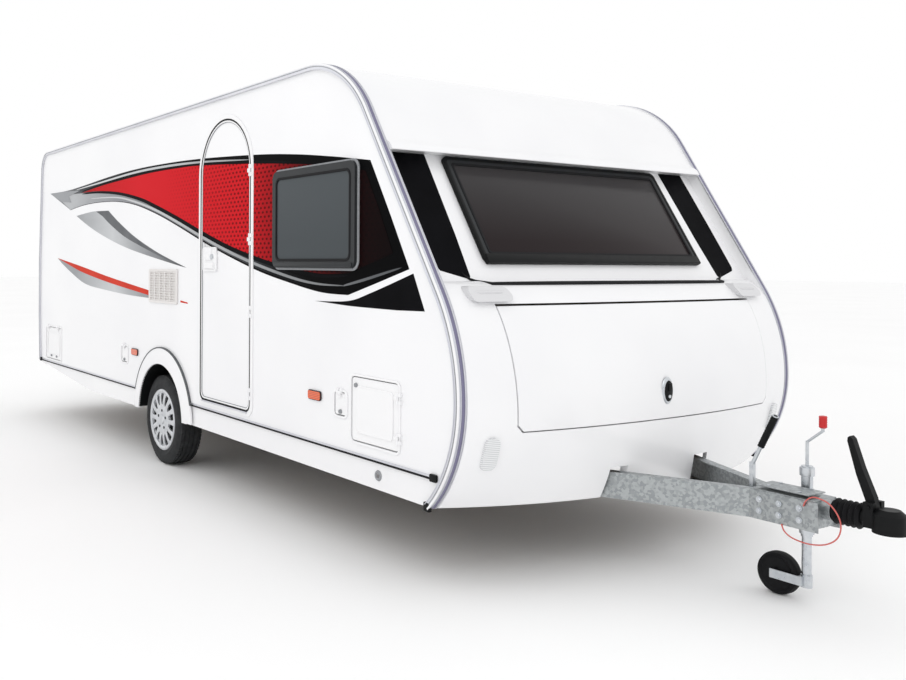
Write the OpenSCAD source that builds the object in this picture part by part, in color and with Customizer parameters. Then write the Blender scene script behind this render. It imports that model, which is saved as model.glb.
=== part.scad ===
/* [Body] */
// Width over the side walls
body_w = 2450; // [2100:10:2600]
// Distance from the axle back to the rear wall
rear_len = 3000; // [2600:10:3400]
// Distance from the axle forward to the nose at the side walls
nose_len = 3315; // [3200:10:3600]
// Height of the roof above the ground
roof_z = 2560; // [2450:10:2800]
// Height of the underside of the floor and side walls
floor_z = 510; // [480:5:540]
// Thickness of the side walls and the rear wall
wall_t = 36; // [25:1:45]
// Thickness of the roof
roof_t = 40; // [28:1:50]
// Thickness of the floor
floor_t = 45; // [30:1:60]
// Thickness of the front mouldings
front_t = 30; // [18:1:36]
// Slope of the front window above the horizontal, in degrees
slope_a = 58; // [52:1:64]
// Radius where the roof turns down into the front
roof_r = 650; // [450:10:750]
// Radius of the upper nose at the side walls
nose_r = 940; // [800:10:1000]
// Radius of the chin under the nose
chin_r = 690; // [640:10:800]
// Height of the most forward point of the side walls
nose_z = 860; // [800:10:900]
// Radius of the rear edge of the roof
rear_r = 180; // [100:10:240]
// How far the nose bulges forward of the side walls at the centre
nose_bulge = 130; // [80:10:260]
// How far the front window panel lies behind the edge of the side walls
recess = 60; // [40:5:120]
// Gap round doors, hatches and lids
gap = 6; // [5:0.5:10]

/* [Openings] */
// Width of the entrance doorway
door_w = 690; // [560:2:720]
// Place of the rear edge of the doorway ahead of the axle
door_x = 722; // [700:2:900]
// Height of the doorway with its round top
door_h = 1820; // [1650:10:1850]
// Height of the door sill above the ground
sill_z = 575; // [565:5:620]
// Width of a side window
window_w = 830; // [500:10:900]
// Height of a side window
window_h = 550; // [400:10:620]
// Width of the front window
front_window_w = 1640; // [1100:10:1680]
// Width of the rear window
rear_window_w = 1250; // [900:10:1500]

/* [Wheels] */
// Outer radius of a tyre
tyre_r = 325; // [300:1:340]
// Width of a tyre
tyre_w = 195; // [165:5:215]
// Outer radius of a wheel rim
rim_r = 205; // [180:1:215]
// Distance between the two tyres' centre planes
track = 2200; // [2150:5:2210]
// Radius of the wheel opening in the side
arch_r = 400; // [380:5:430]

/* [Chassis] */
// Distance between the centres of the two chassis rails
rail_gap = 1280; // [1000:10:1400]
// Height of a chassis rail
rail_h = 150; // [120:5:180]
// Height of the drawbar arms
arm_h = 125; // [100:5:140]
// Thickness of the chassis steel
steel_t = 5; // [3:0.5:8]
// Distance from the axle to the tow ball
hitch_len = 4480; // [4400:10:4700]
// Height of the tow ball's centre
hitch_z = 450; // [430:5:470]
// Bottom edge of the skirts
skirt_z = 370; // [340:5:400]

/* [Jockey wheel] */
// Distance from the axle to the jockey tube
jockey_len = 4080; // [4040:5:4100]
// Radius of the jockey wheel
jockey_r = 95; // [80:1:100]
// Outer radius of the jockey wheel's outer tube
jockey_tube_r = 24; // [22:0.5:30]

/* [Hidden] */
$fn = 48;

// ---- derived sizes of the body ----
half_w = body_w / 2;
in_w = half_w - wall_t;              // inner face of a side wall
seat = 0.3;                          // gap between faces that seat on each other
arc_n = 20;                          // segments of a large arc
rear_x = -rear_len;
nose_x = nose_len;
bumper_out = 60;                     // the rear bumper stands out of the rear wall
head_nose = 62;                      // the coupling head ahead of the ball's centre
mid_x = (hitch_len + head_nose + rear_x - bumper_out) / 2;   // middle of the whole length
floor_top = floor_z + floor_t;

// ---- the side profile, inset by d from the outer face ----
function on_arc(c, r, a) = [c[0] + r * cos(a), c[1] + r * sin(a)];
function arc(c, r, a0, a1, n = arc_n) = [for (i = [0:n]) on_arc(c, r, a0 + (a1 - a0) * i / n)];
turn = 90 - slope_a;                                // angle of the slope's normal
nose_c = [nose_x - nose_r, nose_z];
chin_c = [nose_x - chin_r, nose_z];
slope_foot = on_arc(nose_c, nose_r, turn);
slope_top_x = slope_foot[0] - (roof_z - slope_foot[1]) / tan(slope_a);
roof_c = [slope_top_x - roof_r * tan(slope_a / 2), roof_z - roof_r];
rear_lean = 60;                                     // the rear wall leans in at its top
rear_tuck = 30;                                     // and at its foot
rear_c = [rear_x + rear_lean + rear_r, roof_z - rear_r];
chin_a = -asin((nose_z - skirt_z) / chin_r);
function rear_edge(d) = [[rear_x + rear_tuck + d, floor_z], [rear_x + d, floor_z + 420],
    [rear_x + d, floor_z + 1000], [rear_c[0] - rear_r + d, rear_c[1]]];
function rear_face_x(z) = rear_x + rear_tuck * max(0, 1 - (z - floor_z) / 420);
function rear_corner(d) = arc(rear_c, rear_r - d, 180, 90, 10);
function front_corner(d) = arc(roof_c, roof_r - d, 90, turn);
function nose_edge(d) = arc(nose_c, nose_r - d, turn, 0);
function chin_edge(d, a = chin_a) = arc(chin_c, chin_r - d, 0, a, 12);
function chin_angle(z) = -asin((nose_z - z) / chin_r);
function slope_x(z, d) = slope_foot[0] + (slope_foot[1] - z) / tan(slope_a) - d / sin(slope_a);
function side_x(z, d) =
    z > slope_foot[1] ? slope_x(z, d)
    : z > nose_z ? nose_c[0] + sqrt(pow(nose_r - d, 2) - pow(z - nose_z, 2))
    : chin_c[0] + sqrt(pow(chin_r - d, 2) - pow(nose_z - z, 2));
function reverse(list) = [for (i = [len(list) - 1:-1:0]) list[i]];
function side_outline() = concat(rear_edge(0), rear_corner(0), front_corner(0), nose_edge(0),
    chin_edge(0, chin_angle(floor_z)));

// ---- the front ----
brow_z = 2040;                       // underside of the brow over the front window
shelf_z = 1400;                      // top of the nose
shelf_drop = 100;                    // height over which the nose meets the recess
shelf_x = slope_x(shelf_z - front_t, recess) + seat;
bulge_z = 760;                       // height of the nose's most forward point
bulge_x = nose_x + nose_bulge;
chin_back = 60;                      // the nose's foot lies this far back at the centre
nose_n = 12;                         // rows of the nose's upper part
nose_m = 18;                         // columns of the nose
bow_power = 2.2;
function bow(y) = 1 - pow(abs(y) / half_w, bow_power);
// height and centre-line x of row i of the nose, inset by d
function nose_row(i, d) =
    i <= nose_n ? let (a = 90 - 90 * i / nose_n)
        [bulge_z + (shelf_z - bulge_z - d) * sin(a), shelf_x + (bulge_x - shelf_x - d) * cos(a)]
    : let (s = (i - nose_n) / 4)
        [bulge_z + (skirt_z - bulge_z) * s, bulge_x - d - chin_back * s * s];
function near_shelf(z) = pow(max(0, (z - (shelf_z - shelf_drop)) / shelf_drop), 2);
function shelf_step(d) = side_x(shelf_z - d, d) - shelf_x;
function nose_side_x(z, d) = side_x(z, d) - shelf_step(d) * near_shelf(z + d);
function nose_point(i, y, d) = let (row = nose_row(i, d), sx = nose_side_x(row[0], d))
    [sx + (row[1] - sx) * bow(y), y, row[0]];
nose_rows = nose_n + 4;

// x of the nose's outer face at height z on the centre line, and at any y
function centre_x(z) = z > bulge_z
    ? shelf_x + (bulge_x - shelf_x) * sqrt(1 - pow((z - bulge_z) / (shelf_z - bulge_z), 2))
    : bulge_x - chin_back * pow((bulge_z - z) / (bulge_z - skirt_z), 2);
function nose_face_x(y, z) = let (sx = nose_side_x(z, 0)) sx + (centre_x(z) - sx) * bow(y);

// a shell between the nose's face inset by d0 and by d1, as wide as 2 * half
module nose_shell(d0, d1, half) {
    cols = nose_m + 1;
    rows = nose_rows + 1;
    per = cols * rows;
    function y_of(j) = -half + 2 * half * j / nose_m;
    pts = [for (d = [d0, d1]) for (i = [0:nose_rows]) for (j = [0:nose_m])
        nose_point(i, y_of(j), d)];
    function at(s, i, j) = s * per + i * cols + j;
    faces = concat(
        [for (i = [0:nose_rows - 1]) for (j = [0:nose_m - 1]) for (k = [0, 1])
            k == 0 ? [at(0, i, j), at(0, i, j + 1), at(0, i + 1, j + 1)]
                : [at(0, i, j), at(0, i + 1, j + 1), at(0, i + 1, j)]],
        [for (i = [0:nose_rows - 1]) for (j = [0:nose_m - 1]) for (k = [0, 1])
            k == 0 ? [at(1, i, j), at(1, i + 1, j + 1), at(1, i, j + 1)]
                : [at(1, i, j), at(1, i + 1, j), at(1, i + 1, j + 1)]],
        [for (j = [0:nose_m - 1]) for (k = [0, 1])
            k == 0 ? [at(0, 0, j), at(1, 0, j), at(1, 0, j + 1)]
                : [at(0, 0, j), at(1, 0, j + 1), at(0, 0, j + 1)]],
        [for (j = [0:nose_m - 1]) for (k = [0, 1])
            k == 0 ? [at(0, nose_rows, j), at(1, nose_rows, j + 1), at(1, nose_rows, j)]
                : [at(0, nose_rows, j), at(0, nose_rows, j + 1), at(1, nose_rows, j + 1)]],
        [for (i = [0:nose_rows - 1]) for (k = [0, 1])
            k == 0 ? [at(0, i, 0), at(1, i + 1, 0), at(1, i, 0)]
                : [at(0, i, 0), at(0, i + 1, 0), at(1, i + 1, 0)]],
        [for (i = [0:nose_rows - 1]) for (k = [0, 1])
            k == 0 ? [at(0, i, nose_m), at(1, i, nose_m), at(1, i + 1, nose_m)]
                : [at(0, i, nose_m), at(1, i + 1, nose_m), at(0, i + 1, nose_m)]]);
    polyhedron(pts, faces, convexity = 4);
}

// ---- doors, hatches and their hinges ----
door_r = door_w / 2;                 // the door's round top
hinge_out = 12;                      // hinge axis outside the wall's face
knuckle_r = 7;
door_axis_x = door_x + door_w - gap / 2;
door_hinges = [sill_z + 110, sill_z + 610, sill_z + 1050, sill_z + 1470];
frame_out = 25;                      // window frames stand out of the wall

// each hatch: place of its lower rear corner, its width and its height
gas_x = 2490;
gas_z = 580;
gas_w = 395;
gas_h = 330;
box_x = -2770;
box_z = 545;
box_w = 470;
box_h = 310;
wc_x = -1560;
wc_z = 570;
wc_w = 400;
wc_h = 340;
mains_x = -735;
mains_z = 690;
mains_w = 130;
mains_h = 130;
water_x = 2335;
water_z = 690;
water_w = 110;
water_h = 125;
vent_x = -160;
vent_z = 1190;
vent_w = 500;
vent_h = 240;
right_windows = [1710];
left_windows = [1450, -1850];
window_z = 1455;
window_r = 45;
front_window_r = 28;
rear_window_z = 1420;
rear_window_h = 520;
front_window_len = 628;              // along the slope
front_window_foot = 140;             // its lower edge above the nose, along the slope
hatch_r = 25;

// a rectangle with round corners, w by h, from the origin
module round_rect(w, h, r) {
    translate([r, 0]) square([w - 2 * r, h]);
    translate([0, r]) square([w, h - 2 * r]);
    for (x = [r, w - r], y = [r, h - r]) translate([x, y]) circle(r);
}
// the doorway, smaller by d all round
module doorway(d) {
    translate([door_x + door_r, sill_z + door_h - door_r]) circle(door_r - d, $fn = 64);
    translate([door_x + d, sill_z + d])
        round_rect(door_w - 2 * d, door_h - door_r - d + 60, 50);
}
// lifts a shape drawn in X and Z to a sheet from y0 to y1
module sheet(y0, y1) translate([0, y1, 0]) rotate([90, 0, 0]) linear_extrude(y1 - y0) children();
// lifts a shape drawn in X and Z to a bar across the body, between y = -half and half
module across(half) sheet(-half, half) children();
module from_axle() translate([-mid_x, 0, 0]) children();
// side = -1 for the right, 1 for the left: a sheet from depth d0 to d1 inside the outer face
module skin(side, d0, d1)
    if (side < 0) sheet(-half_w + d0, -half_w + d1) children();
    else sheet(half_w - d1, half_w - d0) children();

arch_c = [45, 365];                  // centre of the wheel opening
module arch_disc(r) translate(arch_c) circle(r, $fn = 96);

module wall_cuts(side) {
    arch_disc(arch_r);
    for (x = side < 0 ? right_windows : left_windows)
        translate([x + 30, window_z + 30]) round_rect(window_w - 60, window_h - 60, window_r);
    if (side < 0) {
        doorway(0);
        translate([gas_x, gas_z]) round_rect(gas_w, gas_h, hatch_r);
        translate([box_x, box_z]) round_rect(box_w, box_h, hatch_r);
        translate([mains_x, mains_z]) round_rect(mains_w, mains_h, 15);
        translate([water_x, water_z]) round_rect(water_w, water_h, 15);
        translate([vent_x + 20, vent_z + 20]) square([vent_w - 40, vent_h - 40]);
    } else {
        translate([wc_x, wc_z]) round_rect(wc_w, wc_h, hatch_r);
    }
}

// the fixed half of an upright hinge: two lugs on the wall ahead of the axis
module hinge_lugs(x, z, h = 24) for (s = [-1, 1]) translate([x, -half_w - hinge_out, z + s * h]) {
    translate([0, 0, -h / 2]) cylinder(r = knuckle_r, h = h);
    translate([0, 0, -h / 2]) cube([26, hinge_out, h]);
}
// the moving half: one knuckle and a strap on the leaf behind the axis
module hinge_strap(x, z, h = 24) translate([x, -half_w - hinge_out, z]) {
    translate([0, 0, -h / 2 + seat]) cylinder(r = knuckle_r, h = h - 2 * seat);
    translate([-30, 0, -h / 2 + seat]) cube([30, hinge_out, h - 2 * seat]);
}
// the same for a hinge that lies along X above a flap, side as above
module flap_lugs(x, z, side, h = 20) for (s = [-1, 1])
    translate([x + s * h - h / 2, side * (half_w + hinge_out), z]) {
        rotate([0, 90, 0]) cylinder(r = knuckle_r, h = h);
        translate([0, side < 0 ? 0 : -hinge_out, 0]) cube([h, hinge_out, 22]);
    }
module flap_strap(x, z, side, h = 20)
    translate([x - h / 2 + seat, side * (half_w + hinge_out), z]) {
        rotate([0, 90, 0]) cylinder(r = knuckle_r, h = h - 2 * seat);
        translate([0, side < 0 ? 0 : -hinge_out, -26]) cube([h - 2 * seat, hinge_out, 26]);
    }

module side_wall_right() color("white") from_axle() {
    skin(-1, 0, wall_t) difference() {
        polygon(side_outline());
        wall_cuts(-1);
    }
    for (z = door_hinges) hinge_lugs(door_axis_x, z);
    for (z = [gas_z + 70, gas_z + gas_h - 70]) hinge_lugs(gas_x + gas_w - gap / 2, z, 18);
    for (x = [box_x + 90, box_x + box_w - 90]) flap_lugs(x, box_z + box_h - gap / 2, -1);
    flap_lugs(mains_x + mains_w / 2, mains_z + mains_h - gap / 2, -1, 14);
    flap_lugs(water_x + water_w / 2, water_z + water_h - gap / 2, -1, 14);
}
module side_wall_left() color("white") from_axle() {
    skin(1, 0, wall_t) difference() {
        polygon(side_outline());
        wall_cuts(1);
    }
    for (x = [wc_x + 90, wc_x + wc_w - 90]) flap_lugs(x, wc_z + wc_h - gap / 2, 1);
}

// ---- entrance door and hatches ----
module entrance_door() color("white") from_axle() {
    skin(-1, 0, wall_t) difference() {
        doorway(gap);
        translate([door_x + 38, sill_z + 910]) round_rect(130, 190, 20);
    }
    skin(-1, 8, wall_t) translate([door_x + 38, sill_z + 910]) round_rect(130, 190, 20);
    skin(-1, -14, 8) translate([door_x + 72, sill_z + 925]) round_rect(100, 80, 16);
    for (z = door_hinges) hinge_strap(door_axis_x, z);
}
module gas_hatch() color("white") from_axle() {
    skin(-1, 0, front_t) translate([gas_x + gap, gas_z + gap])
        round_rect(gas_w - 2 * gap, gas_h - 2 * gap, hatch_r - gap);
    skin(-1, -5, 0) translate([gas_x + 50, gas_z + 50])
        round_rect(gas_w - 100, gas_h - 100, 18);
    for (z = [gas_z + 70, gas_z + gas_h - 70]) hinge_strap(gas_x + gas_w - gap / 2, z, 18);
}
// a top-hung flap in an opening of w by h
module flap(x, z, w, h, side, r, straps, strap_h = 20) {
    skin(side, 0, front_t) translate([x + gap, z + gap])
        round_rect(w - 2 * gap, h - 2 * gap, r);
    for (s = straps) flap_strap(s, z + h - gap / 2, side, strap_h);
}
module rear_hatch() color("white") from_axle()
    flap(box_x, box_z, box_w, box_h, -1, hatch_r - gap, [box_x + 90, box_x + box_w - 90]);
module cassette_hatch() color("white") from_axle()
    flap(wc_x, wc_z, wc_w, wc_h, 1, hatch_r - gap, [wc_x + 90, wc_x + wc_w - 90]);
module mains_flap() color("white") from_axle()
    flap(mains_x, mains_z, mains_w, mains_h, -1, 9, [mains_x + mains_w / 2], 14);
module water_flap() color("white") from_axle()
    flap(water_x, water_z, water_w, water_h, -1, 9, [water_x + water_w / 2], 14);
module vent_grille() color("gainsboro") from_axle() {
    skin(-1, -8, 0) difference() {
        translate([vent_x, vent_z]) round_rect(vent_w, vent_h, 12);
        for (i = [0:10], j = [0:4])
            translate([vent_x + 24 + j * 91, vent_z + 22 + i * 18.4]) square([78, 10]);
    }
}

// ---- shell of the cabin ----
module roof_panel() color("white") from_axle() difference() {
    across(in_w) polygon(concat(rear_corner(0), [[roof_c[0], roof_z]],
        [[roof_c[0], roof_z - roof_t]], reverse(rear_corner(roof_t))));
    translate([light_x - light_w / 2, light_y - light_w / 2, roof_z - roof_t - 1])
        linear_extrude(roof_t + 2) round_rect(light_w, light_w, 40);
}
module rear_wall() color("white") from_axle() difference() {
    across(in_w) polygon(concat(rear_edge(0), reverse(rear_edge(wall_t))));
    translate([rear_x - 1, -rear_window_w / 2 + 30, rear_window_z + 30])
        cube([wall_t + rear_lean, rear_window_w - 60, rear_window_h - 60]);
}
brow_lip = 22;                       // the brow's lower bead stands out of the slope
module front_cap() color("white") from_axle() across(in_w)
    polygon(concat(front_corner(0), [[slope_x(brow_z + 45, 0), brow_z + 45],
        [slope_x(brow_z + 35, -brow_lip), brow_z + 35], [slope_x(brow_z, -brow_lip), brow_z],
        [slope_x(brow_z, recess - seat), brow_z], [slope_x(brow_z + 30, recess - seat), brow_z + 30],
        [slope_x(brow_z + 30, front_t), brow_z + 30]], reverse(front_corner(front_t))));
// a point on the window panel: s along the slope from its foot, d behind the slope's face
function on_slope(s, d) = [slope_foot[0] + (slope_foot[1] - shelf_z) / tan(slope_a)
    - s * cos(slope_a) - d * sin(slope_a), shelf_z + s * sin(slope_a) - d * cos(slope_a)];
panel_foot = (recess * cos(slope_a) - front_t) / sin(slope_a) + 1;
panel_len = (brow_z + 60 - shelf_z) / sin(slope_a) - panel_foot;
slope_o = on_slope(0, recess);
// places a plate of the front window: X becomes across, Y up the slope, Z out of it
module on_front(d = 0) translate([slope_o[0], 0, slope_o[1]]) rotate([0, slope_a - 90, 0])
    translate([d, 0, 0]) rotate([90, 0, 90]) children();
module front_window_panel() color("white") from_axle() difference() {
    on_front(-front_t) translate([-in_w, panel_foot])
        cube([2 * in_w, panel_len, front_t]);
    on_front(-front_t - 1) translate([-front_window_w / 2 + 25, front_window_foot + 25, 0])
        cube([front_window_w - 50, front_window_len - 50, front_t + 2]);
}
lid_top = 1288;
lid_top_gap = 10;                    // room over the lid, at its hinge
lid_foot = 730;
lid_top_half = 950;
lid_foot_half = 930;
arm_slot = 26;                       // room round a drawbar arm where it leaves the nose
lid_axis = [nose_face_x(0, lid_top) + 4, lid_top + lid_top_gap / 2];
lid_hinges = [-320, 320];
lid_knuckle = 40;
// outline of the lid in Y and Z, larger by d, and by up at its top
function lid_outline(d, up) = [[-lid_top_half - d, lid_top + up], [-lid_foot_half - d, lid_foot - d + 30],
    [-lid_foot_half - d + 30, lid_foot - d], [lid_foot_half + d - 30, lid_foot - d],
    [lid_foot_half + d, lid_foot - d + 30], [lid_top_half + d, lid_top + up]];
module along_x(x0, x1) translate([x0, 0, 0]) rotate([90, 0, 90]) linear_extrude(x1 - x0) children();
module nose_panel() color("white") from_axle() {
    difference() {
        nose_shell(0, front_t, in_w - seat);
        along_x(nose_x - 400, bulge_x + 50) polygon(lid_outline(gap, lid_top_gap));
        for (s = [-1, 1]) translate([0, 0, arm_z - arm_h / 2 - arm_slot]) mirror([0, s < 0 ? 1 : 0, 0])
            linear_extrude(arm_h + 2 * arm_slot)
                polygon(arm_band(-arm_flange - arm_slot, steel_t + arm_slot));
    }
    for (y = lid_hinges, e = [-1, 1]) translate([lid_axis[0], y + e * lid_knuckle, lid_axis[1]]) {
        rotate([90, 0, 0]) translate([0, 0, -lid_knuckle / 2]) cylinder(r = 5, h = lid_knuckle);
        translate([-26, -lid_knuckle / 2, 0]) cube([26, lid_knuckle, 9]);
    }
}
module locker_lid() color("white") from_axle() {
    intersection() {
        nose_shell(-2, front_t - 6, in_w - seat);
        along_x(nose_x - 400, bulge_x + 50) polygon(lid_outline(0, 0));
    }
    for (y = lid_hinges) translate([lid_axis[0], y - lid_knuckle / 2 + seat, lid_axis[1]]) {
        rotate([-90, 0, 0]) cylinder(r = 5, h = lid_knuckle - 2 * seat);
        translate([-4, 0, -22]) cube([8, lid_knuckle - 2 * seat, 22]);
    }
}
module locker_bulkhead() color("wheat") from_axle()
    translate([bulkhead_x, -in_w, floor_top])
        cube([bulkhead_t, 2 * in_w, on_slope(panel_foot, recess + front_t)[1] + 40 - floor_top]);
bulkhead_t = 18;
bulkhead_x = on_slope(panel_foot, recess + front_t)[0] - 48;

// plan of the floor: it follows the nose, and leaves room for the wheels
floor_gap = 3;
function floor_front() = [for (i = [0:12]) let (y = -in_w + 2 * in_w * i / 12)
    [nose_face_x(y, floor_z) - front_t * 1.35 - floor_gap - 12, y]];
module floor_panel() color("burlywood") from_axle() difference() {
    translate([0, 0, floor_z]) linear_extrude(floor_t)
        polygon(concat([[rear_x + rear_tuck + wall_t, in_w], [rear_x + rear_tuck + wall_t, -in_w]],
            floor_front()));
    for (s = [-1, 1]) translate([arch_c[0], s * (in_w + 1), 0])
        translate([-box_half, s < 0 ? 0 : -box_deep, floor_z - 1])
            cube([2 * box_half, box_deep, floor_t + 2]);
}
box_half = arch_r + 8;
box_t = 6;                           // thickness of a wheel box
box_in = track / 2 - tyre_w / 2 - 95;        // inner face of a wheel box
box_deep = in_w - box_in + box_t + 1;

// ---- wheel arches and skirts ----
arch_band = 70;
arch_out = 14;
module above(z) intersection() {
    children();
    translate([-9000, z]) square([18000, 9000]);
}
module wheel_arch(side) {
    skin(side, -arch_out, 0) above(skirt_z) difference() {
        arch_disc(arch_r + arch_band);
        arch_disc(arch_r - 2);
    }
    skin(side, 0, half_w - box_in) above(floor_z) difference() {
        arch_disc(arch_r - seat);
        arch_disc(arch_r - box_t);
    }
    skin(side, half_w - box_in, half_w - box_in + box_t) above(floor_z) arch_disc(arch_r - seat);
}
module wheel_arch_right() color("white") from_axle() wheel_arch(-1);
module wheel_arch_left() color("white") from_axle() wheel_arch(1);
skirt_in = 8;
skirt_t = 20;
skirt_hole = [2710, 440];
module skirt(side) skin(side, skirt_in, skirt_in + skirt_t) difference() {
    polygon(concat([[rear_x + rear_tuck + 10, floor_z], [rear_x + rear_tuck + 10, floor_z - 20],
        [rear_x + 1500, skirt_z - 5]], [[0, skirt_z]],
        [[side_x(skirt_z, rail_in), skirt_z], [side_x(floor_z, rail_in), floor_z]]));
    arch_disc(arch_r + 2);
    translate(skirt_hole) circle(24);
}
module skirt_right() color("white") from_axle() skirt(-1);
module skirt_left() color("white") from_axle() skirt(1);

// ---- corner and awning rails ----
rail_out = 14;
rail_in = 26;
function rail_line(d) = concat(rear_edge(d), rear_corner(d), front_corner(d), nose_edge(d),
    chin_edge(d, chin_a));
module corner_rail(side) skin(side, -rail_out, -seat)
    polygon(concat(rail_line(-5), reverse(rail_line(rail_in))));
module corner_rail_right() color("silver") from_axle() corner_rail(-1);
module corner_rail_left() color("silver") from_axle() corner_rail(1);

// ---- windows ----
frame_round = 10;                    // how much smaller a frame's inner radius is
module frame_ring(w, h, r, band) difference() {
    round_rect(w, h, r);
    translate([band, band]) round_rect(w - 2 * band, h - 2 * band, r - frame_round);
}
frame_band = 42;
module window_frames() color("dimgray") from_axle() {
    for (side = [-1, 1]) skin(side, -frame_out, -seat)
        for (x = side < 0 ? right_windows : left_windows) translate([x, window_z])
            frame_ring(window_w, window_h, window_r, frame_band);
    on_front(seat) translate([-front_window_w / 2, front_window_foot]) linear_extrude(22)
        frame_ring(front_window_w, front_window_len, front_window_r, frame_band);
    translate([rear_x - seat - 22, 0, rear_window_z]) along_y_plane()
        frame_ring(rear_window_w, rear_window_h, window_r, frame_band);
}
// a plate in the rear wall's plane, 22 thick, centred across
module along_y_plane() rotate([90, 0, 90]) linear_extrude(22)
    translate([-rear_window_w / 2, 0]) children();
pane_t = 12;
module pane_shape(w, h, r) translate([frame_band + seat, frame_band + seat])
    round_rect(w - 2 * frame_band - 2 * seat, h - 2 * frame_band - 2 * seat, r - frame_round - seat);
module window_panes() color("darkslategray") from_axle() {
    for (side = [-1, 1]) skin(side, -frame_out + 4, -frame_out + 4 + pane_t)
        for (x = side < 0 ? right_windows : left_windows) translate([x, window_z])
            pane_shape(window_w, window_h, window_r);
    on_front(6) translate([-front_window_w / 2, front_window_foot]) linear_extrude(pane_t)
        pane_shape(front_window_w, front_window_len, front_window_r);
    translate([rear_x - seat - 18, 0, rear_window_z]) rotate([90, 0, 90]) linear_extrude(pane_t)
        translate([-rear_window_w / 2, 0]) pane_shape(rear_window_w, rear_window_h, window_r);
}

// ---- rooflight ----
light_x = -1850;
light_y = -330;
light_w = 420;
light_up = 38;
light_axis = [light_x - light_w / 2 - 56, roof_z + light_up + 10];
module rooflight_frame() color("white") from_axle() {
    translate([light_x, light_y, roof_z + seat]) difference() {
        linear_extrude(light_up) translate([-light_w / 2 - 40, -light_w / 2 - 40])
            round_rect(light_w + 80, light_w + 80, 50);
        translate([0, 0, -1]) linear_extrude(light_up + 2)
            translate([-light_w / 2, -light_w / 2]) round_rect(light_w, light_w, 40);
    }
    for (s = [-1, 1], e = [-1, 1]) translate([light_axis[0], light_y + s * 120 + e * 30 - 10, 0]) {
        translate([0, 0, light_axis[1]]) rotate([-90, 0, 0]) cylinder(r = knuckle_r, h = 20);
        translate([-7, 0, roof_z + 10]) cube([30, 20, light_axis[1] - roof_z - 10]);
    }
}
module rooflight_lid() color("whitesmoke") from_axle()
    translate([light_x, light_y, roof_z + light_up + gap]) {
        linear_extrude(26) translate([-light_w / 2 - 30, -light_w / 2 - 30])
            round_rect(light_w + 60, light_w + 60, 46);
        translate([0, 0, 26]) linear_extrude(18) translate([-light_w / 2, -light_w / 2])
            round_rect(light_w, light_w, 40);
        for (s = [-1, 1]) translate([light_w / 2 + 12, s * 120, -gap + 2 * seat]) cylinder(r = 9, h = gap);
        for (s = [-1, 1]) translate([-light_w / 2 - 56, s * 120 - 20 + seat, 10 - gap]) {
            rotate([-90, 0, 0]) cylinder(r = knuckle_r, h = 40 - 2 * seat);
            translate([0, 0, 0]) cube([40, 40 - 2 * seat, 7]);
        }
    }

// ---- lamps, bumper and handles ----
module rear_lamps() color("firebrick") from_axle() for (s = [-1, 1])
    translate([rear_x - 34, s * (half_w - 190) - 55, floor_z + 180]) rotate([90, 0, 90])
        linear_extrude(34 - seat) round_rect(110, 330, 40);
module rear_bumper() color("white") from_axle() {
    translate([rear_x - bumper_out, -half_w + 40, floor_z - 60]) rotate([90, 0, 90])
        linear_extrude(rear_face_x(floor_z + 90) - rear_x + bumper_out - seat)
            round_rect(2 * half_w - 80, 150, 40);
    translate([rear_x - bumper_out + 10, -270, floor_z + 84]) cube([bumper_out - 10 - seat, 540, 130]);
}
handle_y = 975;
handle_z = 1345;
handle_w = 230;
// a pad of the nose's own curve, standing out by t, with the outline given in Y and Z
module on_nose(t) intersection() {
    nose_shell(-t, -seat, in_w - seat);
    along_x(nose_x - 500, bulge_x + t) children();
}
module grab_handles() color("lightgray") from_axle() for (s = [-1, 1]) on_nose(30)
    translate([s * handle_y - handle_w / 2, handle_z - 35]) round_rect(handle_w, 70, 30);
front_lamp_in = 165;                 // a front lamp's middle, in from the side
module front_lamps() color("whitesmoke") from_axle() for (s = [-1, 1]) on_nose(16)
    translate([s * (half_w - front_lamp_in) - 35, 560]) round_rect(70, 150, 30);
module side_markers() color("orange") from_axle() for (side = [-1, 1]) skin(side, -12, -seat) {
    translate([-510, 765]) round_rect(120, 45, 12);
    translate([2085, 745]) round_rect(120, 45, 12);
}

// ---- chassis ----
rail_y = rail_gap / 2;
rail_x0 = rear_x + 330;
rail_x1 = 3020;
flange = 55;
tube_x = 150;                        // axle tube ahead of the wheel centre
tube_z = 350;
tube_r = 52;                         // across the corners
// a channel with its flanges to -Y, its back at y = 0, from x0 to x1, standing from z0 to z1
module channel(x0, x1, z0, z1) {
    translate([x0, -steel_t, z0]) cube([x1 - x0, steel_t, z1 - z0]);
    for (z = [z0, z1 - steel_t]) translate([x0, -flange, z]) cube([x1 - x0, flange, steel_t]);
}
module chassis_rail(side) mirror([0, side < 0 ? 0 : 1, 0]) translate([0, -rail_y, 0])
    difference() {
        union() {
            channel(rail_x0, rail_x1, floor_z - rail_h, floor_z - seat);
            translate([tube_x - 130, -steel_t - 8, floor_z - rail_h]) cube([260, 8, rail_h - 30]);
        }
        translate([tube_x, 20, tube_z]) rotate([90, 0, 0])
            cylinder(r = tube_r + 2 * seat, h = flange + 60, $fn = 6);
        translate([tube_x - tube_r - seat, -flange - 20, tube_z - 90])
            cube([2 * (tube_r + seat), flange + 60, floor_z - rail_h + steel_t + 1 - tube_z + 90]);
    }
module chassis_rail_right() color("silver") from_axle() chassis_rail(-1);
module chassis_rail_left() color("silver") from_axle() chassis_rail(1);
module cross_members() color("silver") from_axle() for (x = [rail_x0 + 40, -1300, 1500, 2680])
    translate([x, -rail_y + seat, floor_z - 90]) difference() {
        cube([60, 2 * rail_y - 2 * seat, 90 - seat]);
        translate([5, -1, -1]) cube([50, 2 * rail_y + 2, 80]);
    }
arm_x0 = 2780;                       // rear end of the arms, inside the rails
arm_bend_x = 3930;                   // from here they run side by side
arm_end = 80;                        // half the gap between the arms at the coupling
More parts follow.
